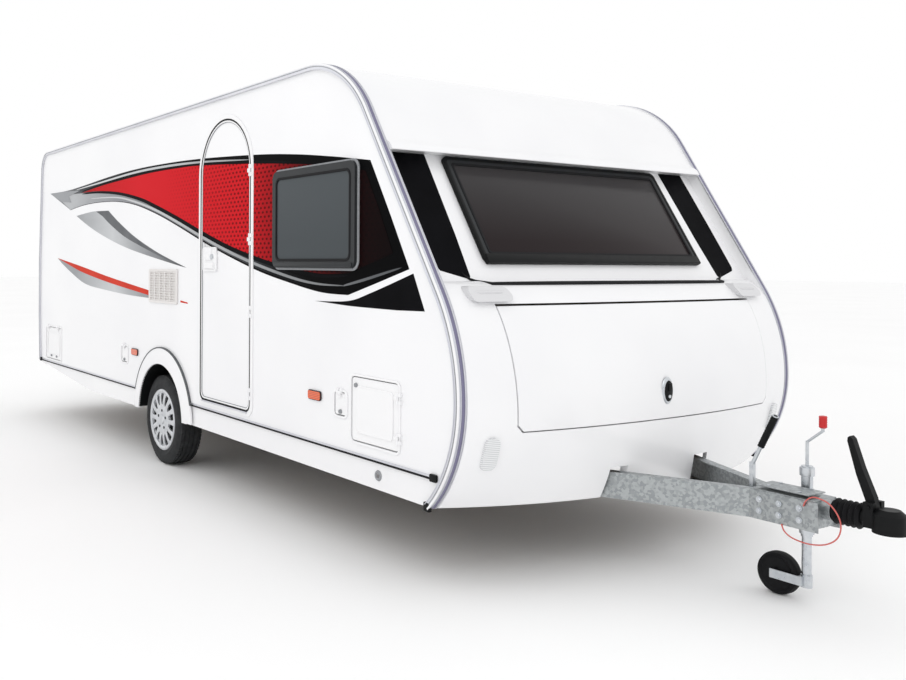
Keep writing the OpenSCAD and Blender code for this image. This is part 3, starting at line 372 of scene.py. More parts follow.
def printed_red(name, pitch):
    """Printed cast vinyl: a red field with a dark mesh in it that fades in forward, then sinks into black."""
    made, tree, shader = new_material(name, paint().red, **{"Roughness": 0.45, "Specular IOR Level": 0.02})
    where = add(tree, "ShaderNodeSeparateXYZ", {0: place_mm(tree)})
    x, z = where.outputs["X"], where.outputs["Z"]
    wide = pitch * 1000
    row = math_node(tree, "DIVIDE", z, wide * 0.55)
    row_index = math_node(tree, "FLOOR", row)
    odd = math_node(tree, "MULTIPLY", math_node(tree, "PINGPONG", row_index, 1.0), 0.5)
    column = math_node(tree, "ADD", math_node(tree, "DIVIDE", x, wide), odd)
    across = math_node(tree, "SUBTRACT", math_node(tree, "FRACT", column), 0.5)
    along = math_node(tree, "SUBTRACT", math_node(tree, "FRACT", row), 0.5)
    flat = math_node(tree, "MULTIPLY", along, 0.9)
    far = math_node(tree, "ADD", math_node(tree, "POWER", across, 2.0), math_node(tree, "POWER", flat, 2.0))
    dot = add(tree, "ShaderNodeMapRange", {"Value": far, "From Min": 0.035, "From Max": 0.1,
                                           "To Min": 1.0, "To Max": 0.0})
    fade = add(tree, "ShaderNodeMapRange", {
        "Value": x, "From Min": (AXLE_X + 0.1) * 1000, "From Max": (AXLE_X + 1.2) * 1000,
        "To Min": 0.0, "To Max": 0.8})
    mask = math_node(tree, "MULTIPLY", dot.outputs["Result"], fade.outputs["Result"])
    tone = add(tree, "ShaderNodeMapRange", {
        "Value": x, "From Min": (AXLE_X - 1.8) * 1000, "From Max": (AXLE_X + 2.9) * 1000})
    field = ramp(tree, tone.outputs["Result"], [
        (0.0, "8E1216"), (0.1, "C0171E"), (0.3, "D01E27"), (0.66, "C81A22"), (0.8, "5E0E12"),
        (0.9, "1A0708"), (1.0, "080405")])
    dark = ramp(tree, tone.outputs["Result"], [(0.0, "7A0C11"), (0.7, "3E070A"), (0.88, "0C0506")])
    mixed = add(tree, "ShaderNodeMix", {"Factor": mask, 6: field, 7: dark}, data_type="RGBA")
    tree.links.new(mixed.outputs[2], shader.inputs["Base Color"])
    return made


def printed_fade(name, stops, span, across=None):
    """Printed cast vinyl whose tone runs along the body, or up it where across is given."""
    made, tree, shader = new_material(name, stops[0][1], **{"Roughness": 0.45, "Specular IOR Level": 0.02})
    where = add(tree, "ShaderNodeSeparateXYZ", {0: place_mm(tree)})
    axis = where.outputs["Z" if across else "X"]
    start = 0.0 if across else AXLE_X
    tone = add(tree, "ShaderNodeMapRange", {
        "Value": axis, "From Min": (start + span[0]) * 1000, "From Max": (start + span[1]) * 1000})
    grain = math_node(tree, "MULTIPLY", noise(tree, 90, 4, (0.25, 1, 1)).outputs["Fac"], 0.14)
    mixed = math_node(tree, "ADD", tone.outputs["Result"], math_node(tree, "SUBTRACT", grain, 0.07))
    tree.links.new(ramp(tree, mixed, stops), shader.inputs["Base Color"])
    return made


def plain_film(name, hex_colour, shade):
    """Cut vinyl of one colour: flat and glossy, its tone slightly uneven."""
    made, tree, shader = new_material(name, hex_colour, **{"Roughness": 0.45, "Specular IOR Level": 0.02})
    tint_from(tree, shader, noise(tree, 250, 2).outputs["Fac"], hex_colour, shade)
    rough_from(tree, shader, noise(tree, 60, 2).outputs["Fac"], 0.4, 0.5)
    return made


def floor_paint():
    """Matt pale studio floor."""
    made, tree, shader = new_material("pale_matt_floor", bpy.context.scene.caravan_stage.floor, Roughness=0.9)
    tint_from(tree, shader, noise(tree, 2500, 2).outputs["Fac"], "FAFAFA", "FDFDFD")
    return made


MATERIALS = {}


def finish_of(name):
    return MATERIALS[name]


def make_materials():
    p = paint()
    MATERIALS.update({
        "skin": lacquered_sheet("lacquered_aluminium_white", p.skin, "EDEDEF"),
        "moulding": gelcoat("white_gelcoat", p.moulding, "ECECEE"),
        "hatch": moulded_plastic("white_abs_hatch", "F1F1F2", 0.35, 2.2, 0.05),
        "vent": moulded_plastic("white_abs_vent", "E3E0DE", 0.45),
        "handle": moulded_plastic("grey_white_nylon", "D6D6D8", 0.4),
        "anodised": anodised(),
        "strip": moulded_plastic("violet_blue_pvc_insert", p.rail_insert, 0.35),
        "galvanised": galvanised(),
        "zinc": bright_zinc(),
        "tyre": tyre_rubber(),
        "wheel": silver_lacquer(),
        "plywood": sealed_plywood(),
        "frame": moulded_plastic("dark_grey_asa_frame", p.frame_grey, 0.42, shine=0.2),
        # the second colour of each pane is the painted sky reflection at its top
        "side_glass": tinted_acrylic("grey_tinted_acrylic", p.side_glass, "4C5154"),
        "front_glass": tinted_acrylic("dark_smoked_acrylic", p.front_glass, "3A3839"),
        # the last colour of each lens is the painted shade in the troughs of its ribs
        "red_lens": lens("red_acrylic_lens", p.red_lens, "7A0408"),
        "clear_lens": lens("clear_acrylic_lens", "E9EAEB", "C9CBCD"),
        "amber_lens": lens("amber_acrylic_lens", p.amber, "B8400A"),
        "seal": soft_rubber("black_epdm_seal", "141416", "1E1E20"),
        "grey_seal": soft_rubber("grey_epdm_seal", "8E9094", "A0A2A5"),
        "dark_seal": soft_rubber("dark_grey_epdm_seal", "55575A", "6A6C6F"),
        "bellows": soft_rubber("black_bellows_rubber", "101012", "1A1A1C"),
        "black_plastic": moulded_plastic("black_glass_filled_nylon", "101112", 0.45, shine=0.15),
        "red_plastic": moulded_plastic("red_pvc_grip", "C41A1C", 0.35),
        "red_sheath": moulded_plastic("pale_red_cable_sheath", "C9605A", 0.4),
        "grey_sheath": moulded_plastic("light_grey_cable_sheath", "B9B6B4", 0.4),
        "dome": milky_acrylic(),
        "red_field": printed_red("printed_red_vinyl", sizes().dot_pitch),
        "sweep": printed_fade("printed_black_sweep_vinyl", [
            (0.0, "B4B6B8"), (0.1, "8E9092"), (0.22, "45474A"), (0.45, "2A2B2D"), (0.75, "0B0B0D"),
            (1.0, "050506")], (-2.7, 1.9)),
        "lower_sweep": printed_fade("printed_silver_sweep_vinyl", [
            (0.0, "B9BBBD"), (0.25, "9A9C9F"), (0.5, "808285"), (0.72, "5E6063"), (0.9, "1A1B1D"),
            (1.0, "060607")], (-2.1, 2.1)),
        "black_film": plain_film("black_vinyl", p.black, "101013"),
        "highlight": printed_fade("printed_highlight_vinyl", [
            (0.0, "D8D9DA"), (0.4, "C2C4C6"), (0.8, "8A8C8E"), (1.0, "55575A")], (-2.0, 2.9)),
        "silver_film": printed_fade("printed_silver_vinyl", [
            (0.0, "9EA0A3"), (0.4, "C8CACC"), (0.75, "8C8E91"), (1.0, "3C3E41")], (-1.9, 0.5)),
        "dark_silver": plain_film("printed_dark_silver_vinyl", "606265", "75777A"),
        "red_film": plain_film("red_vinyl", "C63A2C", "D24434"),
    })


CAD_FINISH = {
    "skin": ["side_wall_right", "side_wall_left", "rear_wall", "entrance_door"],
    "moulding": ["roof_panel", "front_cap", "front_window_panel", "nose_panel", "locker_lid",
                 "wheel_arch_right", "wheel_arch_left", "rear_bumper", "rooflight_frame"],
    "hatch": ["gas_hatch", "rear_hatch", "cassette_hatch", "mains_flap", "water_flap"],
    "vent": ["vent_grille"],
    "handle": ["grab_handles"],
    "anodised": ["corner_rail_right", "corner_rail_left"],
    "galvanised": ["chassis_rail_right", "chassis_rail_left", "cross_members", "drawbar_right",
                   "drawbar_left", "axle_beam", "overrun_housing", "steady_brackets",
                   "steady_rear_right", "steady_rear_left", "steady_front_right",
                   "steady_front_left"],
    "zinc": ["handbrake_lever", "jockey_outer_tube", "jockey_inner_tube", "jockey_fork"],
    "tyre": ["tyre_right", "tyre_left"],
    "wheel": ["wheel_disc_right", "wheel_disc_left"],
    "plywood": ["floor_panel", "locker_bulkhead"],
    "frame": ["window_frames"],
    "side_glass": ["window_panes"],
    "red_lens": ["rear_lamps"],
    "clear_lens": ["front_lamps"],
    "amber_lens": ["side_markers"],
    "bellows": ["bellows", "jockey_wheel"],
    "black_plastic": ["coupling_head", "stabiliser_lever"],
    "dome": ["rooflight_lid"],
    "red_sheath": ["breakaway_cable"],
    "skirt": ["skirt_right", "skirt_left"],
}


# ======================================================================
# shapes
# ======================================================================
def keep(name, verts, faces, finish, body, slot=None, angle=None, bevel=None):
    """Makes a piece from vertices and faces, with its finish and its body. Its slot argument is not used."""
    mesh = bpy.data.meshes.new(name)
    mesh.from_pydata([tuple(v) for v in verts], [], faces)
    made = bpy.data.objects.new(name, mesh)
    bpy.context.scene.collection.objects.link(made)
    return dress(made, finish, body, angle, bevel)


def dress(made, finish, body, angle=None, bevel=None):
    """Cleans a mesh, rounds its edges, smooths it under an angle, and hangs it on its body."""
    work = bmesh.new()
    work.from_mesh(made.data)
    bmesh.ops.remove_doubles(work, verts=work.verts, dist=1e-6)
    bmesh.ops.recalc_face_normals(work, faces=work.faces)
    if bevel:
        sharp = [e for e in work.edges if e.is_manifold and e.calc_face_angle() > math.radians(40)]
        bmesh.ops.bevel(work, geom=sharp, offset=bevel, segments=2, affect="EDGES", profile=0.6)
        angle = angle or 35
    if angle:
        limit = math.radians(angle)
        for face in work.faces:
            face.smooth = True
        for edge in work.edges:
            edge.smooth = edge.is_manifold and edge.calc_face_angle(0) < limit
    work.to_mesh(made.data)
    work.free()
    made.data.materials.clear()
    made.data.materials.append(finish_of(finish))
    if body:
        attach(made, body)
    return made


def plate_faces(n):
    """Faces of a plate whose two outlines have n points each."""
    faces = [tuple(range(n)), tuple(range(2 * n - 1, n - 1, -1))]
    return faces + [(i, i + n, (i + 1) % n + n, (i + 1) % n) for i in range(n)]


def band_faces(n, steps):
    """Faces of a band: an outer and an inner outline of n points, at two depths."""
    faces = []
    for i in range(steps):
        j = (i + 1) % n
        faces += [(i, j, n + j, n + i), (2 * n + j, 2 * n + i, 3 * n + i, 3 * n + j),
                  (i, 2 * n + i, 2 * n + j, j), (n + j, 3 * n + j, 3 * n + i, n + i)]
    return faces


def prism(name, outline, y0, y1, finish, body, **more):
    """A plate with an outline in X and Z, between y0 and y1."""
    n = len(outline)
    verts = [at(x, y, z) for y in (y0, y1) for x, z in outline]
    return keep(name, verts, plate_faces(n), finish, body, **more)


def curve_through(points, steps=8, closed=False):
    """A smooth line through points of any dimension."""
    n = len(points)
    out = []
    for i in range(n if closed else n - 1):
        if closed:
            a, b, c, d = (Vector(points[(i + k) % n]) for k in (-1, 0, 1, 2))
        else:
            a, b, c, d = (Vector(points[min(max(i + k, 0), n - 1)]) for k in (-1, 0, 1, 2))
        for s in range(steps):
            t = s / steps
            out.append(0.5 * (2 * b + (c - a) * t + (2 * a - 5 * b + 4 * c - d) * t * t
                              + (3 * b - a - 3 * c + d) * t ** 3))
    if not closed:
        out.append(Vector(points[-1]))
    return [tuple(p) for p in out]


def span(side, near, far):
    """Lower and upper Y of a plate on the given side, from its distances to the middle."""
    return sorted((side * near, side * far))


def round_rect(x, z, w, h, r, steps=6):
    """Outline of a rectangle with round corners, its lower left corner at x, z."""
    out = []
    for cx, cz, start in ((x + w - r, z + r, -90), (x + w - r, z + h - r, 0),
                          (x + r, z + h - r, 90), (x + r, z + r, 180)):
        for i in range(steps + 1):
            a = math.radians(start + 90 * i / steps)
            out.append((cx + r * math.cos(a), cz + r * math.sin(a)))
    return out


def ring(name, outer, inner, y0, y1, finish, body, **more):
    """A closed band between two outlines of the same number of points."""
    n = len(outer)
    verts = [at(x, y, z) for y in (y0, y1) for line in (outer, inner) for x, z in line]
    return keep(name, verts, band_faces(n, n), finish, body, **more)


def lathe(profile, centre, axis="Y", steps=64, flip=1):
    """Vertices and faces of a profile of (radius, offset) turned about an axis."""
    turn = {"X": Matrix.Rotation(math.pi / 2, 4, "Y"), "Y": Matrix.Rotation(-math.pi / 2, 4, "X"),
            "Z": Matrix.Identity(4)}[axis]
    n = len(profile)
    verts = []
    for i in range(steps):
        a = math.tau * i / steps
        for r, h in profile:
            verts.append(Vector(centre) + turn @ Vector((r * math.cos(a), r * math.sin(a), flip * h)))
    faces = []
    for i in range(steps):
        for k in range(n - 1):
            a, b = i * n + k, ((i + 1) % steps) * n + k
            faces.append((a, b, b + 1, a + 1))
    return verts, faces


def box_mesh(lo, hi, turn=None, centre=None):
    """Vertices and faces of a box, turned about its centre if asked."""
    xs, ys, zs = zip(lo, hi)
    verts = [Vector((x, y, z)) for x in xs for y in ys for z in zs]
    if turn is not None:
        mid = Vector(centre) if centre is not None else (Vector(lo) + Vector(hi)) / 2
        verts = [mid + turn @ (v - mid) for v in verts]
    return verts, [(0, 1, 3, 2), (4, 6, 7, 5), (0, 4, 5, 1), (2, 3, 7, 6), (0, 2, 6, 4), (1, 5, 7, 3)]


def joined(parts):
    """Several vertex and face lists as one."""
    verts, faces = [], []
    for v, f in parts:
        base = len(verts)
        verts += list(v)
        faces += [tuple(i + base for i in face) for face in f]
    return verts, faces


def carve(piece, cutter, operation="DIFFERENCE"):
    """Cuts a piece with a helper solid, which is then thrown away."""
    step = piece.modifiers.new("cut", "BOOLEAN")
    step.object = cutter
    step.operation = operation
    step.solver = "EXACT"
    settle(piece)
    bpy.data.objects.remove(cutter)
    return piece


def settle(piece):
    """Turns a piece's modifiers into its mesh."""
    depsgraph = bpy.context.evaluated_depsgraph_get()
    mesh = bpy.data.meshes.new_from_object(piece.evaluated_get(depsgraph))
    piece.modifiers.clear()
    piece.data = mesh


def helper(verts, faces):
    """A solid that only cuts others."""
    mesh = bpy.data.meshes.new("helper")
    mesh.from_pydata([tuple(v) for v in verts], [], faces)
    made = bpy.data.objects.new("helper", mesh)
    bpy.context.scene.collection.objects.link(made)
    work = bmesh.new()
    work.from_mesh(mesh)
    bmesh.ops.recalc_face_normals(work, faces=work.faces)
    work.to_mesh(mesh)
    work.free()
    return made


def helper_prism(outline, y0, y1):
    n = len(outline)
    verts = [at(x, y, z) for y in (y0, y1) for x, z in outline]
    return helper(verts, plate_faces(n))


def sweep(path, profile_r, sides=12, closed=False):
    """Vertices and faces of a round bar along a path."""
    points = [Vector(p) for p in path]
    n = len(points)
    verts, faces = [], []
    up = Vector((0, 0.02, 1))
    for i, p in enumerate(points):
        ahead = points[(i + 1) % n] if closed else points[min(i + 1, n - 1)]
        behind = points[i - 1] if closed or i else points[0]
        run = (ahead - behind).normalized()
        side = run.cross(up)
        side = side.normalized() if side.length > 1e-4 else run.cross(Vector((0, 1, 0))).normalized()
        top = side.cross(run).normalized()
        up = top
        for k in range(sides):
            a = math.tau * k / sides
            verts.append(p + profile_r * (math.cos(a) * side + math.sin(a) * top))
    last = n if closed else n - 1
    for i in range(last):
        for k in range(sides):
            m = (k + 1) % sides
            j = (i + 1) % n
            faces.append((i * sides + k, j * sides + k, j * sides + m, i * sides + m))
    if not closed:
        faces += [tuple(range(sides - 1, -1, -1)), tuple((n - 1) * sides + k for k in range(sides))]
    return verts, faces


# ======================================================================
# the body's own surfaces, in metres, X from the axle
# ======================================================================
SLOPE = math.radians(58)
NOSE_X = 3.315
NOSE_R = 0.94
CHIN_R = 0.69
NOSE_Z = 0.86
ROOF_R = 0.65
REAR_R = 0.18
RECESS = 0.06
SKIN_T = 0.03
SHELF_Z = 1.4
BULGE_Z = 0.76
BULGE = 0.13
SKIRT_Z = 0.37
BROW_Z = 2.04
FOOT = (NOSE_X - NOSE_R + NOSE_R * math.sin(SLOPE), NOSE_Z + NOSE_R * math.cos(SLOPE))
SLOPE_TOP = FOOT[0] - (ROOF_Z - FOOT[1]) / math.tan(SLOPE)
ROOF_C = (SLOPE_TOP - ROOF_R * math.tan(SLOPE / 2), ROOF_Z - ROOF_R)
REAR_LEAN = 0.06  # the rear wall leans in at its top
REAR_C = (REAR_X + REAR_LEAN + REAR_R, ROOF_Z - REAR_R)
SLOPE_TURN = 90 - math.degrees(SLOPE)


def slope_x(z, d=0.0):
    return FOOT[0] + (FOOT[1] - z) / math.tan(SLOPE) - d / math.sin(SLOPE)


def side_x(z, d=0.0):
    """Front edge of the side profile at height z, inset by d."""
    if z > FOOT[1]:
        return slope_x(z, d)
    if z > NOSE_Z:
        return NOSE_X - NOSE_R + math.sqrt(max(0, (NOSE_R - d) ** 2 - (z - NOSE_Z) ** 2))
    return NOSE_X - CHIN_R + math.sqrt(max(0, (CHIN_R - d) ** 2 - (NOSE_Z - z) ** 2))


SHELF_X = slope_x(SHELF_Z - SKIN_T, RECESS) + SEAT
BULGE_X = NOSE_X + BULGE
TUCK = 0.06  # the nose tucks in from the bulge to its foot
BLEND = 0.1  # height below the shelf over which the nose meets the side's edge
BOW_POWER = 2.2


def bow(y):
    """How far the nose swells at y: 1 in the middle, 0 at the side."""
    return 1 - (abs(y) / WALL_Y) ** BOW_POWER


def nose_point(s, y, d):
    """A point of the nose: s runs 0 to 1 from the shelf to the bulge, and to 2 at the foot."""
    if s <= 1:
        a = math.pi / 2 * (1 - s)
        z = BULGE_Z + (SHELF_Z - BULGE_Z - d) * math.sin(a)
        middle = SHELF_X + (BULGE_X - SHELF_X - d) * math.cos(a)
    else:
        z = BULGE_Z + (SKIRT_Z - BULGE_Z) * (s - 1)
        middle = BULGE_X - d - TUCK * (s - 1) ** 2
    near = max(0, (z + d - (SHELF_Z - BLEND)) / BLEND) ** 2
    edge = side_x(z, d) - (side_x(SHELF_Z - d, d) - SHELF_X) * near
    return at(edge + (middle - edge) * bow(y), y, z)


def nose_x(y, z):
    """X of the nose's face, from the axle."""
    if z > BULGE_Z:
        up = (z - BULGE_Z) / (SHELF_Z - BULGE_Z)
        middle = SHELF_X + (BULGE_X - SHELF_X) * math.sqrt(max(0, 1 - up ** 2))
    else:
        middle = BULGE_X - TUCK * ((BULGE_Z - z) / (BULGE_Z - SKIRT_Z)) ** 2
    near = max(0, (z - (SHELF_Z - BLEND)) / BLEND) ** 2
    edge = side_x(z) - (side_x(SHELF_Z) - SHELF_X) * near
    return edge + (middle - edge) * bow(y)


def nose_sheet(d0, d1, half, rows=56, columns=64, span=(0.0, 2.0)):
    """A shell of the nose between two depths."""
    def line(d):
        out = []
        for i in range(rows + 1):
            s = span[0] + (span[1] - span[0]) * i / rows
            out += [nose_point(s, -half + 2 * half * j / columns, d) for j in range(columns + 1)]
        return out
    n = columns + 1
    count = (rows + 1) * n
    verts = line(d0) + line(d1)
    faces = []
    for i in range(rows):
        for j in range(columns):
            a = i * n + j
            faces.append((a, a + 1, a + n + 1, a + n))
            b = a + count
            faces.append((b, b + n, b + n + 1, b + 1))
    for j in range(columns):
        faces.append((j, j + count, j + 1 + count, j + 1))
        a = rows * n + j
        faces.append((a, a + 1, a + 1 + count, a + count))
    for i in range(rows):
        a = i * n
        faces.append((a, a + n, a + n + count, a + count))
        b = a + columns
        faces.append((b, b + count, b + n + count, b + n))
    return verts, faces


LID_TOP = 1.288
LID_FOOT = 0.73
LID_TOP_HALF = 0.95
LID_FOOT_HALF = 0.93
LID_CUT = (2.9, 3.7)  # X range of the cutters that part the lid from the nose


def lid_line(d, up):
    """Outline of the locker lid in Y and Z."""
    return [(-LID_TOP_HALF - d, LID_TOP + up), (-LID_FOOT_HALF - d, LID_FOOT - d + 0.03),
            (-LID_FOOT_HALF - d + 0.03, LID_FOOT - d), (LID_FOOT_HALF + d - 0.03, LID_FOOT - d),
            (LID_FOOT_HALF + d, LID_FOOT - d + 0.03), (LID_TOP_HALF + d, LID_TOP + up)]


def helper_along_x(outline, x0, x1):
    n = len(outline)
    verts = [at(x, y, z) for x in (x0, x1) for y, z in outline]
    return helper(verts, plate_faces(n))


def make_nose():
    """Smooth nose moulding and locker lid."""
    panel = keep("nose_moulding", *nose_sheet(0, SKIN_T, IN_W - SEAT), "moulding", None)
    carve(panel, helper_along_x(lid_line(0.006, 0.01), *LID_CUT))
    for side in (-1, 1):
        carve(panel, arm_slot(side))
    dress(panel, "moulding", "trailer", angle=38)
    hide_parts("nose_panel")
    lid = keep("locker_lid_moulding", *nose_sheet(-0.002, 0.024, IN_W - SEAT), "moulding", None)
    carve(lid, helper_along_x(lid_line(0, 0), *LID_CUT), "INTERSECT")
    dress(lid, "moulding", "lid", angle=38)
    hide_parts("locker_lid")


def arm_slot(side):
    """Cutter along one drawbar arm: it follows the arm's plan with room all round."""
    lo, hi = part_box("drawbar_left")
    rail = (0.6347, 0.08)
    run = (Vector((3.93, rail[1])) - Vector((2.78, rail[0]))).normalized()
    out = Vector((-run.y, run.x))
    room = 0.026
    corners = []
    for along, off in ((0.2, -0.045 - room), (1.2, -0.045 - room), (1.2, 0.005 + room), (0.2, 0.005 + room)):
        corners.append(Vector((2.78, rail[0])) + run * along + out * off)
    verts = [at(c.x, side * c.y, z) for z in (lo.z - room, hi.z + room) for c in corners]
    return helper(verts, [(0, 1, 2, 3), (7, 6, 5, 4), (0, 4, 5, 1), (1, 5, 6, 2), (2, 6, 7, 3), (3, 7, 4, 0)])


def arc_line(centre, r, a0, a1, n):
    return [(centre[0] + r * math.cos(math.radians(a0 + (a1 - a0) * i / n)),
             centre[1] + r * math.sin(math.radians(a0 + (a1 - a0) * i / n))) for i in range(n + 1)]


def make_front_cap():
    """Front cap that turns the roof down into the slope, with its brow over the window."""
    lip = 0.022
    outer = arc_line(ROOF_C, ROOF_R, 90, SLOPE_TURN, 64)
    outer += [(slope_x(BROW_Z + 0.075), BROW_Z + 0.075), (slope_x(BROW_Z + 0.05, -0.006), BROW_Z + 0.05),
              (slope_x(BROW_Z + 0.036, -lip), BROW_Z + 0.036), (slope_x(BROW_Z + 0.02, -lip - 0.002), BROW_Z + 0.02),
              (slope_x(BROW_Z + 0.003, -lip), BROW_Z + 0.003), (slope_x(BROW_Z, -lip + 0.004), BROW_Z),
              (slope_x(BROW_Z, RECESS - SEAT), BROW_Z), (slope_x(BROW_Z + 0.03, RECESS - SEAT), BROW_Z + 0.03),
              (slope_x(BROW_Z + 0.03, SKIN_T), BROW_Z + 0.03)]
    inner = arc_line(ROOF_C, ROOF_R - SKIN_T, SLOPE_TURN, 90, 64)
    made = prism("front_cap_moulding", outer + inner, -IN_W, IN_W, "moulding", "trailer",
                 slot="white_moulding", angle=30)
    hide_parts("front_cap")


def make_roof():
    """Roof skin with its smooth rear turn and the rooflight's hole."""
    outer = arc_line(REAR_C, REAR_R, 180, 90, 32) + [(ROOF_C[0], ROOF_Z), (ROOF_C[0], ROOF_Z - 0.04)]
    inner = arc_line(REAR_C, REAR_R - 0.04, 90, 180, 32)
    made = prism("roof_skin", outer + inner, -IN_W, IN_W, "moulding", None)
    hole = [(x + AXLE_X, y) for x, y in round_rect(-2.06, -0.54, 0.42, 0.42, 0.04)]
    n = len(hole)
    verts = [Vector((x, y, z)) for z in (ROOF_Z - 0.1, ROOF_Z + 0.1) for x, y in hole]
    carve(made, helper(verts, plate_faces(n)))
    dress(made, "moulding", "trailer", angle=30)
    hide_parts("roof_panel")
    parts = []
    for x in (-1.05, 0.15, 1.35):
        parts.append(box_mesh(at(x - 0.012, -IN_W + 0.01, ROOF_Z - 0.001),
                              at(x + 0.012, IN_W - 0.01, ROOF_Z + 0.002)))
    keep("roof_seams", *joined(parts), "hatch", "trailer", slot="white_wall", bevel=0.001)
    cowl = []
    for k, (grow, z) in enumerate(((0, 0.0), (-0.012, 0.03), (-0.04, 0.042))):
        cowl.append([(x, y, ROOF_Z + z) for x, y in round_rect(-2.62 - grow, 0.5 - grow, 0.36 + 2 * grow,
                                                                0.36 + 2 * grow, 0.06 + grow)])
    verts = [at(*p) for line in cowl for p in line]
    n = len(cowl[0])
    faces = [tuple(range(n - 1, -1, -1)), tuple(range(2 * n, 3 * n))]
    for k in (0, 1):
        faces += [(k * n + i, k * n + (i + 1) % n, (k + 1) * n + (i + 1) % n, (k + 1) * n + i)
                  for i in range(n)]
    keep("roof_vent_cowl", verts, faces, "hatch", "trailer", slot="white_wall", angle=40)


# ======================================================================
# side graphics
# ======================================================================
DOOR_X, DOOR_W, DOOR_H, SILL_Z = 0.722, 0.690, 1.82, 0.575


def doorway(d, steps=40):
    """Outline of the doorway, smaller by d all round."""
    r = DOOR_W / 2
    top = SILL_Z + DOOR_H - r
    out = arc_line((DOOR_X + r, top), r - d, 0, 180, steps)
    corner = 0.05 - 0.5 * d
    for cx, start in ((DOOR_X + d + corner, 180), (DOOR_X + DOOR_W - d - corner, 270)):
        out += arc_line((cx, SILL_Z + d + corner), corner, start, start + 90, 8)
    return out


def film(name, outline, layer, finish, split=False, side=-1):
    """A cut film on a side wall: layer 1 lies on the skin, higher ones over it."""
    y0 = side * (WALL_Y + FILM * (layer - 1) + 0.0001)
    y1 = side * (WALL_Y + FILM * layer + 0.0001)
    made = prism(name, outline, min(y0, y1), max(y0, y1), finish, None)
    if not split:
        return dress(made, finish, "trailer")
    leaf = made.copy()
    leaf.data = made.data.copy()
    leaf.name = name + "_door"
    bpy.context.scene.collection.objects.link(leaf)
    carve(made, helper_prism(doorway(-0.001), -2, 0))
    carve(leaf, helper_prism(doorway(0.0065), -2, 0), "INTERSECT")
    dress(leaf, finish, "door")
    return dress(made, finish, "trailer")


TOP_LINE = [(-2.68, 2.15), (-2.2, 2.145), (-1.7, 2.16), (-1.06, 2.19), (-0.48, 2.205), (0.1, 2.2), (0.7, 2.18),
            (1.45, 2.135), (1.9, 2.095), (2.3, 2.045), (2.64, 1.995)]
LOW_LINE = [(-2.05, 1.96), (-1.7, 1.985), (-1.3, 1.99), (-0.88, 1.975), (-0.48, 1.93), (-0.07, 1.845),
            (0.31, 1.745), (0.89, 1.58), (1.47, 1.44), (1.9, 1.365), (2.2, 1.325), (2.45, 1.318)]
RED_TOP = [(-1.73, 2.1), (-1.3, 2.125), (-0.88, 2.14), (-0.22, 2.155), (0.31, 2.15), (0.7, 2.135), (1.46, 2.08),
           (1.9, 2.04), (2.28, 2.0), (2.6, 1.945)]
RED_LOW = [(-1.73, 2.1), (-1.32, 2.09), (-0.82, 2.05), (-0.37, 1.98), (-0.07, 1.91), (0.31, 1.81), (0.7, 1.7),
           (1.08, 1.6), (1.47, 1.52), (1.89, 1.455), (2.2, 1.425), (2.45, 1.43)]


def band(line, up, taper=True):
    """A band along a line, up to `up` thick in the middle and thin at both ends."""
    n = len(line)
    upper, lower = [], []
    for i, (x, z) in enumerate(line):
        t = i / (n - 1)
        w = up * (math.sin(math.pi * min(1, max(0, t))) ** 0.5 if taper else 1)
        upper.append((x, z + w / 2 + 0.0004))
        lower.append((x, z - w / 2))
    return upper + lower[::-1]


